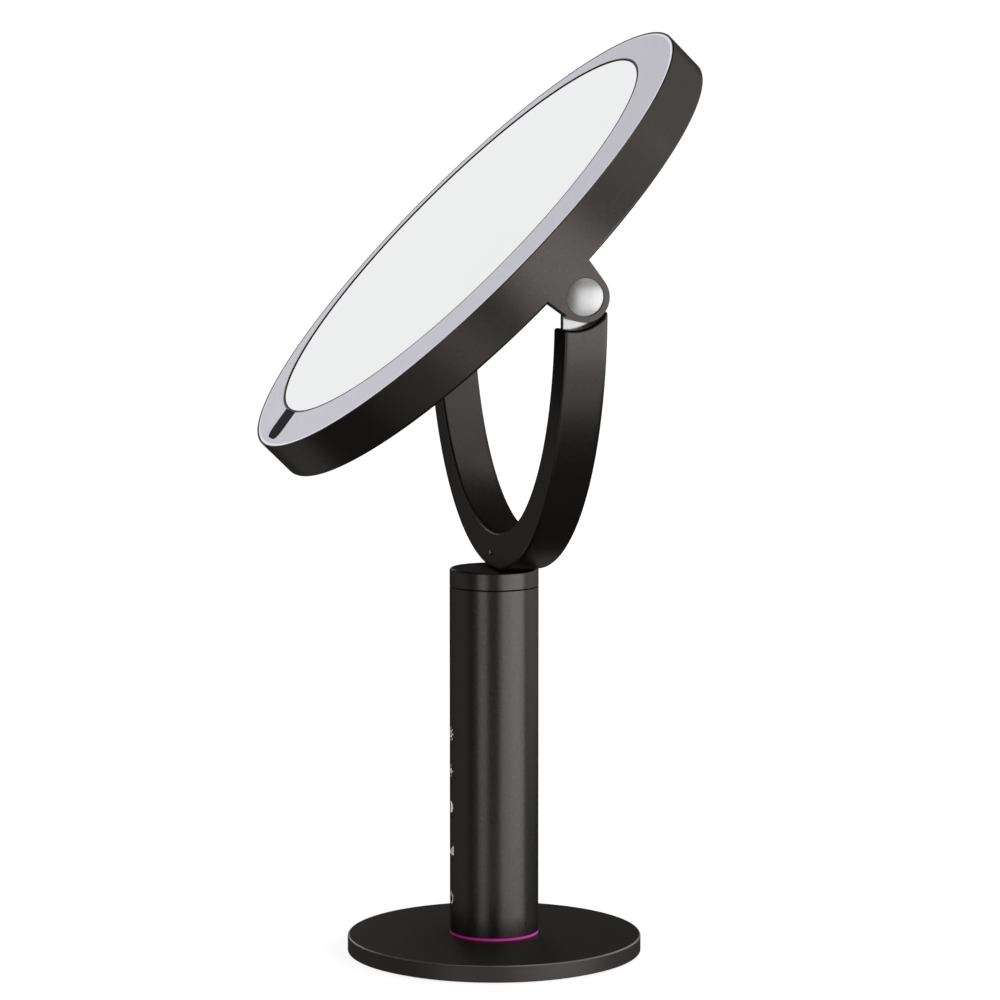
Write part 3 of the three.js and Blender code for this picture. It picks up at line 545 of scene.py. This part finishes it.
BRONZE = bronze_coat("bronze_coat", 0.30, 0.5)
BRONZE_BASE = bronze_coat("bronze_coat_base", 0.48, 0.65)
EDGE_HIGHLIGHT_PAINT = painted_highlight_metal()
STEEL_BRIGHT = polished_steel()
STEEL_SATIN = satin_steel()
STEEL_PLAIN = zinc_steel()
BLACK = moulded("black_plastic", (0.014, 0.013, 0.015), 0.42)
GREY = moulded("grey_plastic", (0.14, 0.145, 0.16), 0.5)
RUBBER = moulded("black_rubber", (0.012, 0.012, 0.012), 0.82, 2400, 0.00008)
SHEATH = moulded("cable_sheath", (0.015, 0.015, 0.017), 0.6)
WRAP = moulded("cell_wrap", (0.02, 0.09, 0.32), 0.3)
MIRROR = mirror_silver()
GLASS_EDGE = glass_edge()
OPAL = opal("opal_diffuser", 0.42)
# The same diffuser with a stronger glow for its outer band: a painted highlight of its edge.
OPAL_PAINTED_HIGHLIGHT = opal("opal_diffuser_painted_highlight", 0.75)
WINDOW = dark_window()
GLOW = glow_magenta()
SYMBOL = pale_symbol()
BOARD = circuit_green()


# ---------------------------------------------------------------- base
def base():
    cover = turned([
        (0, BASE_TOP),
        (BASE_RADIUS, BASE_TOP, 0.9),
        (BASE_RADIUS, BASE_SKIRT, 0.3),
        (BASE_RADIUS - BASE_WALL, BASE_SKIRT),
        (BASE_RADIUS - BASE_WALL, BASE_TOP - BASE_WALL),
        (0, BASE_TOP - BASE_WALL),
    ], 256)
    # The top rounding's faces take the lighter metal, a painted highlight along the base's edge.
    for face in cover.faces:
        middle = face.calc_center_median()
        highlight_band = middle.z > BASE_TOP - 1 and 0.45 < face.normal.z < 0.95
        face.material_index = int(highlight_band)
    piece("base_disc", cover, "stand", [BRONZE_BASE, EDGE_HIGHLIGHT_PAINT], ["base_cover"])
    grooves = []
    for i in reversed(range(GROOVES)):
        outer = PAD_RADIUS - GROOVE_MARGIN - GROOVE_PITCH * i
        inner = outer - GROOVE_WIDTH
        grooves += [(inner, 0), (inner + GROOVE_SLOPE, GROOVE_DEPTH)]
        grooves += [(outer - GROOVE_SLOPE, GROOVE_DEPTH), (outer, 0)]
    pad = turned([
        (0, 0),
        *grooves,
        (PAD_RADIUS, 0, 0.5),
        (PAD_RADIUS, PAD_TOP, 0.2),
        (0, PAD_TOP),
    ], 192, 3)
    piece("rubber_foot_pad", pad, "stand", RUBBER, ["base_pad"])


# ---------------------------------------------------------------- column
def column():
    tube = turned([
        (COLUMN_BORE, TUBE_BOTTOM),
        (COLUMN_RADIUS, TUBE_BOTTOM, 0.25),
        (COLUMN_RADIUS, TUBE_TOP, 0.25),
        (COLUMN_BORE, TUBE_TOP),
    ], 192, 3)
    cutters = [
        rod(ICON_RADIUS + GAP * 0.6, (0, -CUT_INSIDE, z), (0, -CUT_OUTSIDE, z), 96)
        for z in ICON_HEIGHTS
    ]
    port_hole = slot_outline(PORT_WIDTH + 2 * GAP, PORT_HEIGHT + 2 * GAP, (0, PORT_Z))
    cutters.append(prism(port_hole, CUT_INSIDE, CUT_OUTSIDE, (X, Z, Y)))
    piece("column_body", combined(tube, cutters), "stand", BRONZE, ["column_tube"])
    cap = turned([
        (0, COLUMN_TOP),
        (COLUMN_RADIUS, COLUMN_TOP, 1.1),
        (COLUMN_RADIUS, CAP_BOTTOM, 0.2),
        (COLUMN_BORE - GAP, CAP_BOTTOM),
        (COLUMN_BORE - GAP, SLEEVE_END),
        (SLEEVE_INNER, SLEEVE_END),
        (SLEEVE_INNER, CAP_CEILING),
        (0, CAP_CEILING),
    ], 192)
    piece("column_top_cap", cap, "stand", BRONZE, ["column_cap"])
    ring = turned([
        (GLOW_INNER, GLOW_BOTTOM),
        (COLUMN_RADIUS - 0.1, GLOW_BOTTOM, 0.3),
        (COLUMN_RADIUS - 0.1, GLOW_TOP, 0.3),
        (GLOW_INNER, GLOW_TOP),
    ], 192)
    piece("light_line", ring, "stand", GLOW, ["glow_ring"])


def charging_socket():
    """A drawn steel shell with a flat tongue in its mouth."""
    shell = slot_outline(PORT_WIDTH, PORT_HEIGHT, (0, PORT_Z))
    shell = prism(shell, PORT_FACE - PORT_LENGTH, PORT_FACE, (X, Z, Y))
    mouth = slot_outline(PORT_WIDTH - 2 * PORT_WALL, PORT_HEIGHT - 2 * PORT_WALL, (0, PORT_Z))
    mouth = prism(mouth, PORT_FACE - PORT_DEPTH, PORT_FACE + 5, (X, Z, Y))
    half_width, half_height = PORT_TONGUE_WIDTH / 2, PORT_TONGUE_HEIGHT / 2
    tongue = rectangle(-half_width, half_width, PORT_Z - half_height, PORT_Z + half_height)
    tongue = prism(tongue, PORT_FACE - PORT_DEPTH - 0.2, PORT_FACE - 1.9, (X, Z, Y))
    socket = combined(combined(bevelled(shell, 0.2, 2), [mouth]), [tongue], "UNION")
    piece("charging_socket", socket, "stand", STEEL_PLAIN, ["charging_port"])


def touch_key(z):
    """A round key whose face follows the column, with a softened edge."""
    bm = bmesh.new()
    segments = 64
    rings = [[bm.verts.new((0, -COLUMN_RADIUS, z))]]
    for share, sink in ((0.4, 0), (0.75, 0), (0.95, 0), (0.985, 0.03), (1.0, 0.12)):
        ring = []
        for x, height in arc((0, z), ICON_RADIUS * share, 0, 360, segments)[:-1]:
            ring.append(bm.verts.new((x, sink - math.sqrt(COLUMN_RADIUS ** 2 - x * x), height)))
        rings.append(ring)
    back = arc((0, z), ICON_RADIUS, 0, 360, segments)[:-1]
    rings.append([bm.verts.new((x, ICON_BACK, height)) for x, height in back])
    for inner, outer in zip(rings, rings[1:]):
        for i in range(segments):
            j = (i + 1) % segments
            loop = [inner[i % len(inner)], inner[j % len(inner)], outer[j], outer[i]]
            bm.faces.new(list(dict.fromkeys(loop)))
    bm.faces.new(rings[-1])
    return bm


def bar(start, end, width):
    """A straight stroke, as a strip of points across and along it."""
    start, end = Vector(start), Vector(end)
    across = (end - start).normalized().orthogonal() * width / 2
    strip = []
    for i in range(5):
        middle = start.lerp(end, i / 4)
        strip.append((middle - across, middle + across))
    return strip


def ring_stroke(radius, first, last, width):
    """A round stroke about the sign's middle, from one angle to another."""
    inner = arc((0, 0), radius - width / 2, first, last, 40)
    outer = arc((0, 0), radius + width / 2, first, last, 40)
    return [(Vector(near), Vector(far)) for near, far in zip(inner, outer)]


def rays(count, inner, outer, width):
    """Straight strokes all round, from one radius to another."""
    starts = arc((0, 0), inner, 0, 360, count)[:-1]
    ends = arc((0, 0), outer, 0, 360, count)[:-1]
    return [bar(start, end, width) for start, end in zip(starts, ends)]


def symbol_strokes():
    """Five generic signs: bright sun, small sun, half-filled disc, brightness wedge and power."""
    sun = [ring_stroke(1.25, 0, 360, 0.5), *rays(8, 2.1, 3.0, 0.5)]
    small_sun = [ring_stroke(0.6, 0, 360, 1.2), *rays(4, 1.8, 2.6, 0.5)]
    half_disc = [ring_stroke(2.2, 0, 360, 0.45), ring_stroke(1.0, -90, 90, 2.0)]
    wedge = [bar((-2.8 + 1.4 * i, -2.0), (-2.8 + 1.4 * i, -1.4 + 0.85 * i), 0.8) for i in range(5)]
    power = [ring_stroke(2.3, 125, 415, 0.55), bar((0, 0.6), (0, 3.0), 0.55)]
    return [sun, small_sun, half_disc, wedge, power]


def symbol(strokes, z):
    """Thin inlays that follow the key's face."""
    bm = bmesh.new()
    for strip in strokes:
        layers = []
        for radius in (COLUMN_RADIUS - 0.05, COLUMN_RADIUS + 0.03):
            layer = []
            for pair in strip:
                places = [(p.x, -math.sqrt(radius ** 2 - p.x ** 2), z + p.y) for p in pair]
                layer.append([bm.verts.new(place) for place in places])
            layers.append(layer)
        low, high = layers
        for i in range(len(strip) - 1):
            for layer in layers:
                bm.faces.new((layer[i][0], layer[i + 1][0], layer[i + 1][1], layer[i][1]))
            for side in (0, 1):
                bm.faces.new((low[i][side], low[i + 1][side], high[i + 1][side], high[i][side]))
        for end in (0, -1):
            bm.faces.new((low[end][0], low[end][1], high[end][1], high[end][0]))
    bmesh.ops.remove_doubles(bm, verts=bm.verts, dist=TOUCHING)
    return bm


def touch_keys():
    for i, (z, strokes) in enumerate(zip(ICON_HEIGHTS, symbol_strokes()), 1):
        piece(f"touch_key_{i}", touch_key(z), "stand", BRONZE, [f"touch_icon_{i}"])
        piece(f"touch_symbol_{i}", symbol(strokes, z), "stand", SYMBOL, [])


# ---------------------------------------------------------------- yoke
def yoke_ring():
    """The half ring. Its arms end in a hollow that clears the lugs, its lowest strip is flat on the cap."""
    width = YOKE_BACK - YOKE_FRONT - 2 * YOKE_MARGIN
    inside = [YOKE_FRONT + YOKE_MARGIN + width * i / 6 for i in range(7)]
    places = [YOKE_FRONT, *inside, YOKE_BACK]
    surfaces = []
    bm = bmesh.new()
    for radius, centre in ((YOKE_OUTER, YOKE_OUTER_Z), (YOKE_INNER, YOKE_INNER_Z)):
        rows = []
        for y in places:
            top = SADDLE_Z - math.sqrt(SADDLE_RADIUS ** 2 - (y - SADDLE_Y) ** 2)
            tip = math.asin(max(-1, min(1, (top - centre) / radius)))
            row = []
            for i in range(YOKE_STEPS + 1):
                angle = (math.pi - tip) + (math.pi + 2 * tip) * i / YOKE_STEPS
                z = max(YOKE_SEAT, centre + radius * math.sin(angle))
                row.append(bm.verts.new((radius * math.cos(angle), y, z)))
            rows.append(row)
        surfaces.append(rows)
    outer, inner = surfaces
    for rows in surfaces:
        for front, back in zip(rows, rows[1:]):
            for i in range(YOKE_STEPS):
                bm.faces.new((front[i], front[i + 1], back[i + 1], back[i]))
    for j in (0, -1):
        for i in range(YOKE_STEPS):
            bm.faces.new((outer[j][i], outer[j][i + 1], inner[j][i + 1], inner[j][i]))
    for i in (0, -1):
        for j in range(len(places) - 1):
            bm.faces.new((outer[j][i], outer[j + 1][i], inner[j + 1][i], inner[j][i]))
    bmesh.ops.recalc_face_normals(bm, faces=bm.faces)
    return bm


def liner_band(inner, outer, low, high, first):
    """Part of a ring round the yoke's inner circle, from the bottom up the right-hand arm."""
    last = math.degrees(math.asin((LINER_END_Z - YOKE_INNER_Z) / YOKE_INNER)) + 360
    centre = (0, YOKE_INNER_Z)
    face = arc(centre, inner, first, last, 90)
    back = arc(centre, outer, last, first, 90)
    return prism(face + back, low, high, (X, Z, Y))


def tongue_slot(side):
    """The slot in an arm's end that takes the tongue plate."""
    near, far = sorted((side * (TONGUE_INNER - GAP), side * (TONGUE_OUTER + GAP)))
    reach = TONGUE_HALF + GAP
    shape = rectangle(PIVOT_Y - reach, PIVOT_Y + reach, TONGUE_BOTTOM, PIVOT_Z)
    return prism(shape, near, far, (Y, Z, X))


def screw_sink(side):
    """The hole in an arm's inner face that takes the head of the tongue's screw."""
    start = (side * ARM_INSIDE, TONGUE_SCREW_Y, TONGUE_SCREW_Z)
    end = (side * (TONGUE_SCREW_NECK + GAP), TONGUE_SCREW_Y, TONGUE_SCREW_Z)
    return rod(TONGUE_SCREW_HEAD + GAP, start, end, 48)


def along_grub(radius, start, end, segments=40):
    """A rod on the set screw's axis, its ends measured back from the yoke's front face."""
    return rod(radius, (0, YOKE_FRONT + start, GRUB_Z), (0, YOKE_FRONT + end, GRUB_Z), segments)


def yoke():
    low, high = LINER_LOW - GAP / 2, LINER_HIGH + GAP / 2
    cutters = [
        liner_band(YOKE_INNER - 1, YOKE_INNER + LINER_GROOVE, low, high, LINER_START - 0.1),
        along_grub(GRUB_RADIUS + 0.05, -1, GRUB_DEPTH),
    ]
    for _, side in SIDES:
        cutters.append(tongue_slot(side))
        cutters.append(screw_sink(side))
    body = combined(bevelled(yoke_ring(), YOKE_EDGE, 4, 50), cutters)
    piece("yoke_half_ring", body, "stand", BRONZE, ["yoke"])
    outer = YOKE_INNER + LINER_THICKNESS
    liner = liner_band(YOKE_INNER + 0.02, outer, LINER_LOW, LINER_HIGH, LINER_START)
    piece("yoke_cable_cover", bevelled(liner, 0.2, 2, 60), "stand", BLACK, ["yoke_liner"])
    screw = bevelled(along_grub(GRUB_RADIUS, -0.8, GRUB_DEPTH - 0.2), 0.5, 4)
    screw = combined(screw, [along_grub(0.45, -1, 1, 6)])
    piece("yoke_set_screw", screw, "stand", STEEL_SATIN, ["yoke_grub_screw"])


# ---------------------------------------------------------------- hinges
def tongue_plate(label, side):
    near, far = sorted((side * TONGUE_INNER, side * TONGUE_OUTER))
    foot = TONGUE_BOTTOM + 0.1
    top = arc((PIVOT_Y, PIVOT_Z), TONGUE_HALF, 0, 180, 32)
    shape = [(PIVOT_Y - TONGUE_HALF, foot), (PIVOT_Y + TONGUE_HALF, foot), *top]
    plate = bevelled(prism(shape, near, far, (Y, Z, X)), 0.35, 3)
    hole = rod(SHAFT_RADIUS + 0.2, (near - 1, PIVOT_Y, PIVOT_Z), (far + 1, PIVOT_Y, PIVOT_Z))
    piece(f"tongue_plate_{label}", combined(plate, [hole]), "stand", STEEL_BRIGHT,
          [f"hinge_tongue_{label}"])


def hinge_shaft(label, axis):
    """A hollow pin with a head on the inner side."""
    shaft = turned([
        (SHAFT_BORE, SHAFT_INNER),
        (SHAFT_HEAD, SHAFT_INNER, 0.7),
        (SHAFT_HEAD, TONGUE_INNER - GAP, 0.2),
        (SHAFT_RADIUS, TONGUE_INNER - GAP),
        (SHAFT_RADIUS, SHAFT_END, 0.3),
        (SHAFT_BORE, SHAFT_END),
    ], 64, 4)
    piece(f"hinge_shaft_{label}", shaft, "stand", STEEL_PLAIN, [f"pivot_shaft_{label}"], axis)


def friction_disc(label, axis):
    disc = turned([
        (SHAFT_RADIUS + GAP, WASHER_INNER),
        (WASHER_RADIUS, WASHER_INNER, 0.2),
        (WASHER_RADIUS, WASHER_OUTER, 0.2),
        (SHAFT_RADIUS + GAP, WASHER_OUTER),
    ], 64, 3)
    piece(f"friction_disc_{label}", disc, "stand", BLACK,
          [f"friction_washer_{label}"], axis)


def arm_screw(label, axis):
    """The socket screw below the pivot that holds the tongue in its arm."""
    screw = turned([
        (0, TONGUE_SCREW_INNER),
        (TONGUE_SCREW_HEAD, TONGUE_SCREW_INNER, 0.5),
        (TONGUE_SCREW_HEAD, TONGUE_SCREW_NECK),
        (TONGUE_SCREW_SHANK, TONGUE_SCREW_NECK),
        (TONGUE_SCREW_SHANK, TONGUE_SCREW_TIP, 0.3),
        (0, TONGUE_SCREW_TIP),
    ], 48, 3)
    socket = rod(1.1, (0, 0, TONGUE_SCREW_INNER - 1), (0, 0, TONGUE_SCREW_INNER + 1.1), 6)
    low = Matrix.Translation((0, TONGUE_SCREW_Y - PIVOT_Y, TONGUE_SCREW_Z - PIVOT_Z)) @ axis
    piece(f"arm_screw_{label}", combined(screw, [socket]), "stand", STEEL_PLAIN,
          [f"tongue_screw_{label}"], low)


def hinge_cap(label, axis):
    """A shallow dome over the pivot, which turns with the head."""
    dome = [(CAP_RADIUS * i / 12, CAP_OUTER - CAP_SAG * (i / 12) ** 2) for i in range(12)]
    cap = turned([
        *dome,
        (CAP_RADIUS, CAP_OUTER - CAP_SAG, 0.12),
        (CAP_RADIUS, CAP_INNER),
        (0, CAP_INNER),
    ], 96, 4)
    piece(f"hinge_cap_{label}", cap, "head", STEEL_SATIN, [f"pivot_cap_{label}"], axis)


def hinges():
    for label, side in SIDES:
        axis = hinge_side(side)
        tongue_plate(label, side)
        hinge_shaft(label, axis)
        friction_disc(label, axis)
        arm_screw(label, axis)
        hinge_cap(label, axis)


# ---------------------------------------------------------------- head
def lug(side):
    """A tab with a round end on the pivot; its outer face carries on the rim's round side."""
    flank = math.atan2(LUG_ROOT, HEAD_BACK)
    touch = math.degrees(flank - math.acos(LUG_RADIUS / math.hypot(LUG_ROOT, HEAD_BACK)))
    buried = HEAD_BACK - 4
    shape = [(buried, -LUG_ROOT), (HEAD_BACK, -LUG_ROOT)]
    shape += arc((0, 0), LUG_RADIUS, -touch, touch, 40)
    shape += [(HEAD_BACK, LUG_ROOT), (buried, LUG_ROOT)]
    near, far = sorted((side * LUG_INNER, side * (HEAD_RADIUS + 2)))
    barrel = rod(HEAD_RADIUS - 0.02, (0, HEAD_FRONT, 0), (0, 20, 0), 360)
    solid = combined(prism(shape, near, far, (Y, Z, X)), [barrel], "INTERSECT")
    return bevelled(solid, LUG_EDGE, 5, 50)


def rim():
    ring = turned([
        (LIP_RADIUS, HEAD_FRONT, 0.15),
        (HEAD_RADIUS, HEAD_FRONT, 0.4),
        (HEAD_RADIUS, HEAD_BACK, 1.2),
        (COVER_RADIUS + GAP, HEAD_BACK, 0.25),
        (COVER_RADIUS + GAP, LEDGE_FACE),
        (LEDGE_INNER, LEDGE_FACE),
        (LEDGE_INNER, LEDGE_UNDER),
        (LEDGE_ROOT, LEDGE_UNDER),
        (LEDGE_ROOT, LEDGE_FACE + 0.2),
        (RIM_INNER, LEDGE_FACE + 0.2),
        (RIM_INNER, LIP_UNDER),
        (LIP_RADIUS, LIP_UNDER),
    ], 360, 5)
    body = combined(moved(ring, ALONG_Y), [lug(side) for _, side in SIDES], "UNION")
    cutters = []
    for _, side in SIDES:
        end = (side * LUG_HOLE_END, 0, 0)
        cutters.append(rod(SHAFT_RADIUS + GAP, (side * LUG_HOLE_START, 0, 0), end))
        cutters.append(rod(LUG_RECESS, (side * LUG_WEB_OUTER, 0, 0), end))
        cutters.append(rod(CAP_RADIUS + 0.1, (side * (CAP_INNER - GAP), 0, 0), end, 128))
    piece("rim_casing", combined(body, cutters), "head", BRONZE, ["head_rim"], HEAD)


def cover_screw(i, x, z):
    """A cross-headed screw, sunk just below the back cover's face."""
    top = HEAD_BACK - 0.2
    neck = top - 1.5
    screw = turned([
        (0, top),
        (BACK_SCREW_HEAD, top, 0.4),
        (BACK_SCREW_HEAD, neck),
        (BACK_SCREW_SHANK, neck),
        (BACK_SCREW_SHANK, BACK_SCREW_TIP, 0.3),
        (0, BACK_SCREW_TIP),
    ], 48, 4)
    sockets = []
    for turn in (0, 90):
        slot = prism(rectangle(-1.5, 1.5, -0.28, 0.28), top - 0.9, top + 1)
        sockets.append(moved(slot, Matrix.Rotation(math.radians(turn), 4, "Z")))
    screw = moved(combined(screw, sockets), Matrix.Translation((x, 0, z)) @ ALONG_Y)
    piece(f"cover_screw_{i}", screw, "head", STEEL_PLAIN, [f"back_screw_{i}"], HEAD)


def back():
    face = HEAD_BACK - 0.1
    plate = moved(turned([
        (0, face),
        (COVER_RADIUS, face, 0.6),
        (COVER_RADIUS, LEDGE_FACE + GAP),
        (0, LEDGE_FACE + GAP),
    ], 256), ALONG_Y)
    places = arc((0, 0), BACK_SCREW_CIRCLE, 30, 390, BACK_SCREWS)[:-1]
    sinks = [rod(BACK_SCREW_HEAD + 0.25, (x, face - 1.7, z), (x, face + 2, z), 48) for x, z in places]
    piece("back_panel", combined(plate, sinks), "head", BRONZE, ["back_cover"], HEAD)
    for i, (x, z) in enumerate(places, 1):
        cover_screw(i, x, z)


def glass():
    rear = GLASS_FACE + GLASS_THICKNESS
    face = GLASS_FACE + GLASS_SINK
    disc = turned([
        (0, face),
        (GLASS_RADIUS - 0.25, face),
        (GLASS_RADIUS, face + 0.2),
        (GLASS_RADIUS, rear),
        (0, rear),
    ], 360)
    for side in disc.faces:
        side.material_index = 0 if abs(side.normal.z) > 0.9 else 1
    piece("silvered_glass", disc, "head", [MIRROR, GLASS_EDGE], ["mirror_glass"],
          HEAD_TURNED)
    shoulder = DIFFUSER_HIGH + DIFFUSER_WALL + 0.1
    ring = turned([
        (RETAINER_INNER, RETAINER_FACE, 0.1),
        (RETAINER_LIP, RETAINER_FACE, 0.1),
        (RETAINER_LIP, shoulder),
        (RETAINER_OUTER, shoulder),
        (RETAINER_OUTER, rear),
        (RETAINER_INNER, rear),
    ], 360, 4)
    piece("retaining_ring", ring, "head", BLACK, ["glass_retainer"], HEAD_TURNED)


def window_block(clearance=0):
    """The sensor window's shape, as a block that runs right through the light ring."""
    half_width = WINDOW_RADIUS + clearance
    end = -(WINDOW_END + clearance)
    start = -(DIFFUSER_INNER - 4)
    shape = outline([
        (-half_width, start),
        (-half_width, end, WINDOW_ROUNDING),
        (half_width, end, WINDOW_ROUNDING),
        (half_width, start),
    ], True, 16)
    return prism(shape, RING_CUT_LOW, RING_CUT_HIGH, (X, Z, Y))


def light_ring():
    slope = (DIFFUSER_LOW - DIFFUSER_HIGH) / (DIFFUSER_OUTER - DIFFUSER_INNER)
    corners = [
        (DIFFUSER_INNER, DIFFUSER_HIGH, 0.1),
        (DIFFUSER_OUTER - HIGHLIGHT_BAND_WIDTH, DIFFUSER_LOW - slope * HIGHLIGHT_BAND_WIDTH),
        (DIFFUSER_OUTER, DIFFUSER_LOW, 0.3),
        (DIFFUSER_OUTER, DIFFUSER_LOW + DIFFUSER_WALL - 0.5),
        (DIFFUSER_INNER, DIFFUSER_HIGH + DIFFUSER_WALL),
    ]
    ring = moved(turned(corners, 360, 4), ALONG_Y)
    ring = combined(ring, [window_block(WINDOW_CLEARANCE)])
    # Faces in the outer band take the stronger glow, a painted highlight along the diffuser's edge.
    for face in ring.faces:
        middle = face.calc_center_median()
        face.material_index = int(math.hypot(middle.x, middle.z) > DIFFUSER_OUTER - HIGHLIGHT_BAND_WIDTH)
    piece("light_diffuser", ring, "head", [OPAL, OPAL_PAINTED_HIGHLIGHT], ["diffuser_ring"], HEAD)
    proud = [(r, h - 0.05, *rest) for r, h, *rest in corners]
    blank = moved(turned(proud, 360, 4), ALONG_Y)
    window = combined(blank, [window_block()], "INTERSECT")
    piece("sensor_lens", window, "head", WINDOW, ["sensor_window"], HEAD)


# ---------------------------------------------------------------- pieces kept from the frame
def dress_frame():
    looks = {
        "plain_steel": STEEL_PLAIN,
        "bright_steel": STEEL_BRIGHT,
        "black_plastic": BLACK,
        "grey_plastic": GREY,
        "circuit_board": BOARD,
        "cell_wrap": WRAP,
        "cable_sheath": SHEATH,
        "rubber": RUBBER,
    }
    slots = {row["node"]: row["material_slot"] for row in frame["record"]["subparts"]}
    for name, thing in frame["nodes"].items():
        look = looks.get(slots[name], BRONZE)
        for place in thing.material_slots:
            place.material = look


# ---------------------------------------------------------------- studio
CAMERA_AZIMUTH = 75.36          # degrees round from the front, towards the right-hand pivot
CAMERA_REACH = 1.5963           # metres from the column's axis
CAMERA_HEIGHT = 0.3666
CAMERA_YAW = -0.09
CAMERA_PITCH = 6.18
CAMERA_LENS = 136.8
DIM = 0.055                     # the dark part of the room, as the coated metal mirrors it
DIM_BELOW = 0.04                # the same, well below the horizon
FLOOR_RADIUS = 30
FLOOR_NEAR, FLOOR_FAR = 0.1, 0.9     # metres from the column, between which the floor brightens
FLOOR_GLOW = 0.87


def around(azimuth, reach, height):
    angle = math.radians(azimuth)
    return Vector((reach * math.sin(angle), -reach * math.cos(angle), height))


def camera():
    data = bpy.data.cameras.new("camera")
    data.sensor_width = 36
    data.lens = CAMERA_LENS
    eye = bpy.data.objects.new("camera", data)
    eye.location = around(CAMERA_AZIMUTH, CAMERA_REACH, CAMERA_HEIGHT)
    pitch = math.radians(CAMERA_PITCH)
    level = around(CAMERA_AZIMUTH + CAMERA_YAW, -math.cos(pitch), 0)
    eye.rotation_mode = "QUATERNION"
    eye.rotation_quaternion = (level - Vector((0, 0, math.sin(pitch)))).to_track_quat("-Z", "Y")
    bpy.context.scene.collection.objects.link(eye)
    bpy.context.scene.camera = eye


def softbox(name, azimuth, reach, height, size, radiance, target=(0, 0, 0.25)):
    """An area light with an even face, turned to the object; radiance sets how bright it looks."""
    data = bpy.data.lights.new(name, "AREA")
    data.shape = "RECTANGLE"
    data.size, data.size_y = size
    data.energy = radiance * math.pi * size[0] * size[1]
    lamp = bpy.data.objects.new(name, data)
    lamp.location = around(azimuth, reach, height)
    lamp.rotation_mode = "QUATERNION"
    lamp.rotation_quaternion = (Vector(target) - lamp.location).to_track_quat("-Z", "Y")
    lamp.visible_camera = False
    bpy.context.scene.collection.objects.link(lamp)


def softboxes():
    """Azimuth in degrees, reach and height in metres, size in metres, radiance, and the place aimed at."""
    softbox("key", CAMERA_AZIMUTH + 64, 1.7, 0.10, (1.2, 1.0), 1.1, (0, 0, 0.2))
    softbox("key_edge", CAMERA_AZIMUTH + 31, 1.7, 0.10, (0.86, 1.0), 0.85, (0, 0, 0.2))
    softbox("left_strip", CAMERA_AZIMUTH - 29, 1.8, 0.15, (0.7, 1.1), 0.68, (0, 0, 0.2))
    softbox("left_fill", CAMERA_AZIMUTH - 112, 1.8, 0.05, (3.2, 1.9), 0.09)
    softbox("low_key", CAMERA_AZIMUTH + 14, 1.3, -0.6, (1.7, 0.45), 0.3)
    softbox("low_fill", CAMERA_AZIMUTH - 12, 1.1, -0.85, (2.6, 0.9), 0.1)
    softbox("low_back", CAMERA_AZIMUTH - 160, 1.4, -0.85, (1.7, 0.7), 0.22)
    softbox("upper_right", CAMERA_AZIMUTH + 55, 1.3, 1.4, (2.0, 1.3), 0.33)
    softbox("rear_right", CAMERA_AZIMUTH + 124, 1.8, 0.65, (2.4, 1.9), 0.46)
    softbox("overhead", CAMERA_AZIMUTH, 0.05, 2.4, (1.6, 1.6), 0.8)
    softbox("mirror_panel", CAMERA_AZIMUTH + 201, 2.0, 0.83, (1.0, 0.62), 0.84)
    softbox("yoke_card", CAMERA_AZIMUTH + 179, 0.054, 0.281, (0.06, 0.045), 0.35, (-0.09, 0.006, 0.22))


def room():
    """White where the camera sees it and dim for everything else, darker below the horizon."""
    world = bpy.data.worlds.new("studio")
    bpy.context.scene.world = world
    world.use_nodes = True
    nodes, links = world.node_tree.nodes, world.node_tree.links
    dim = nodes["Background"]
    place = nodes.new("ShaderNodeTexCoord")
    parts = nodes.new("ShaderNodeSeparateXYZ")
    fade = nodes.new("ShaderNodeMapRange")
    fade.inputs["From Min"].default_value = -0.6
    fade.inputs["From Max"].default_value = 0.0
    fade.inputs["To Min"].default_value = DIM_BELOW
    fade.inputs["To Max"].default_value = DIM
    links.new(place.outputs["Generated"], parts.inputs["Vector"])
    links.new(parts.outputs["Z"], fade.inputs["Value"])
    links.new(fade.outputs["Result"], dim.inputs["Color"])
    pale = nodes.new("ShaderNodeBackground")
    pale.inputs["Color"].default_value = (1, 1, 1, 1)
    path = nodes.new("ShaderNodeLightPath")
    mix = nodes.new("ShaderNodeMixShader")
    links.new(path.outputs["Is Camera Ray"], mix.inputs["Fac"])
    links.new(dim.outputs["Background"], mix.inputs[1])
    links.new(pale.outputs["Background"], mix.inputs[2])
    links.new(mix.outputs["Shader"], nodes["World Output"].inputs["Surface"])
    bpy.context.scene.view_settings.view_transform = "Standard"


def floor_disc():
    """A pale floor that brightens away from the part until it meets the room's white."""
    bm = bmesh.new()
    bmesh.ops.create_circle(bm, cap_ends=True, segments=128, radius=FLOOR_RADIUS)
    mesh = bpy.data.meshes.new("floor")
    bm.to_mesh(mesh)
    bm.free()
    floor = bpy.data.objects.new("floor", mesh)
    bpy.context.scene.collection.objects.link(floor)
    floor.visible_glossy = False
    floor.visible_shadow = False
    white = (1, 1, 1, 1)
    look = shader("pale_floor", (0.8, 0.8, 0.8), 0.9, 0.0, Specular_IOR_Level=0.0, Emission_Color=white)
    place = node(look, "ShaderNodeTexCoord")
    reach = node(look, "ShaderNodeVectorMath", operation="LENGTH")
    fade = node(look, "ShaderNodeMapRange")
    fade.inputs["From Min"].default_value = FLOOR_NEAR
    fade.inputs["From Max"].default_value = FLOOR_FAR
    fade.inputs["To Min"].default_value = FLOOR_GLOW
    fade.inputs["To Max"].default_value = 1.0
    link(look, place.outputs["Object"], reach.inputs[0])
    link(look, reach.outputs["Value"], fade.inputs["Value"])
    link(look, fade.outputs["Result"], surface(look)["Emission Strength"])
    mesh.materials.append(look)


dress_frame()
base()
column()
charging_socket()
touch_keys()
yoke()
hinges()
rim()
back()
glass()
light_ring()
camera()
softboxes()
room()
floor_disc()
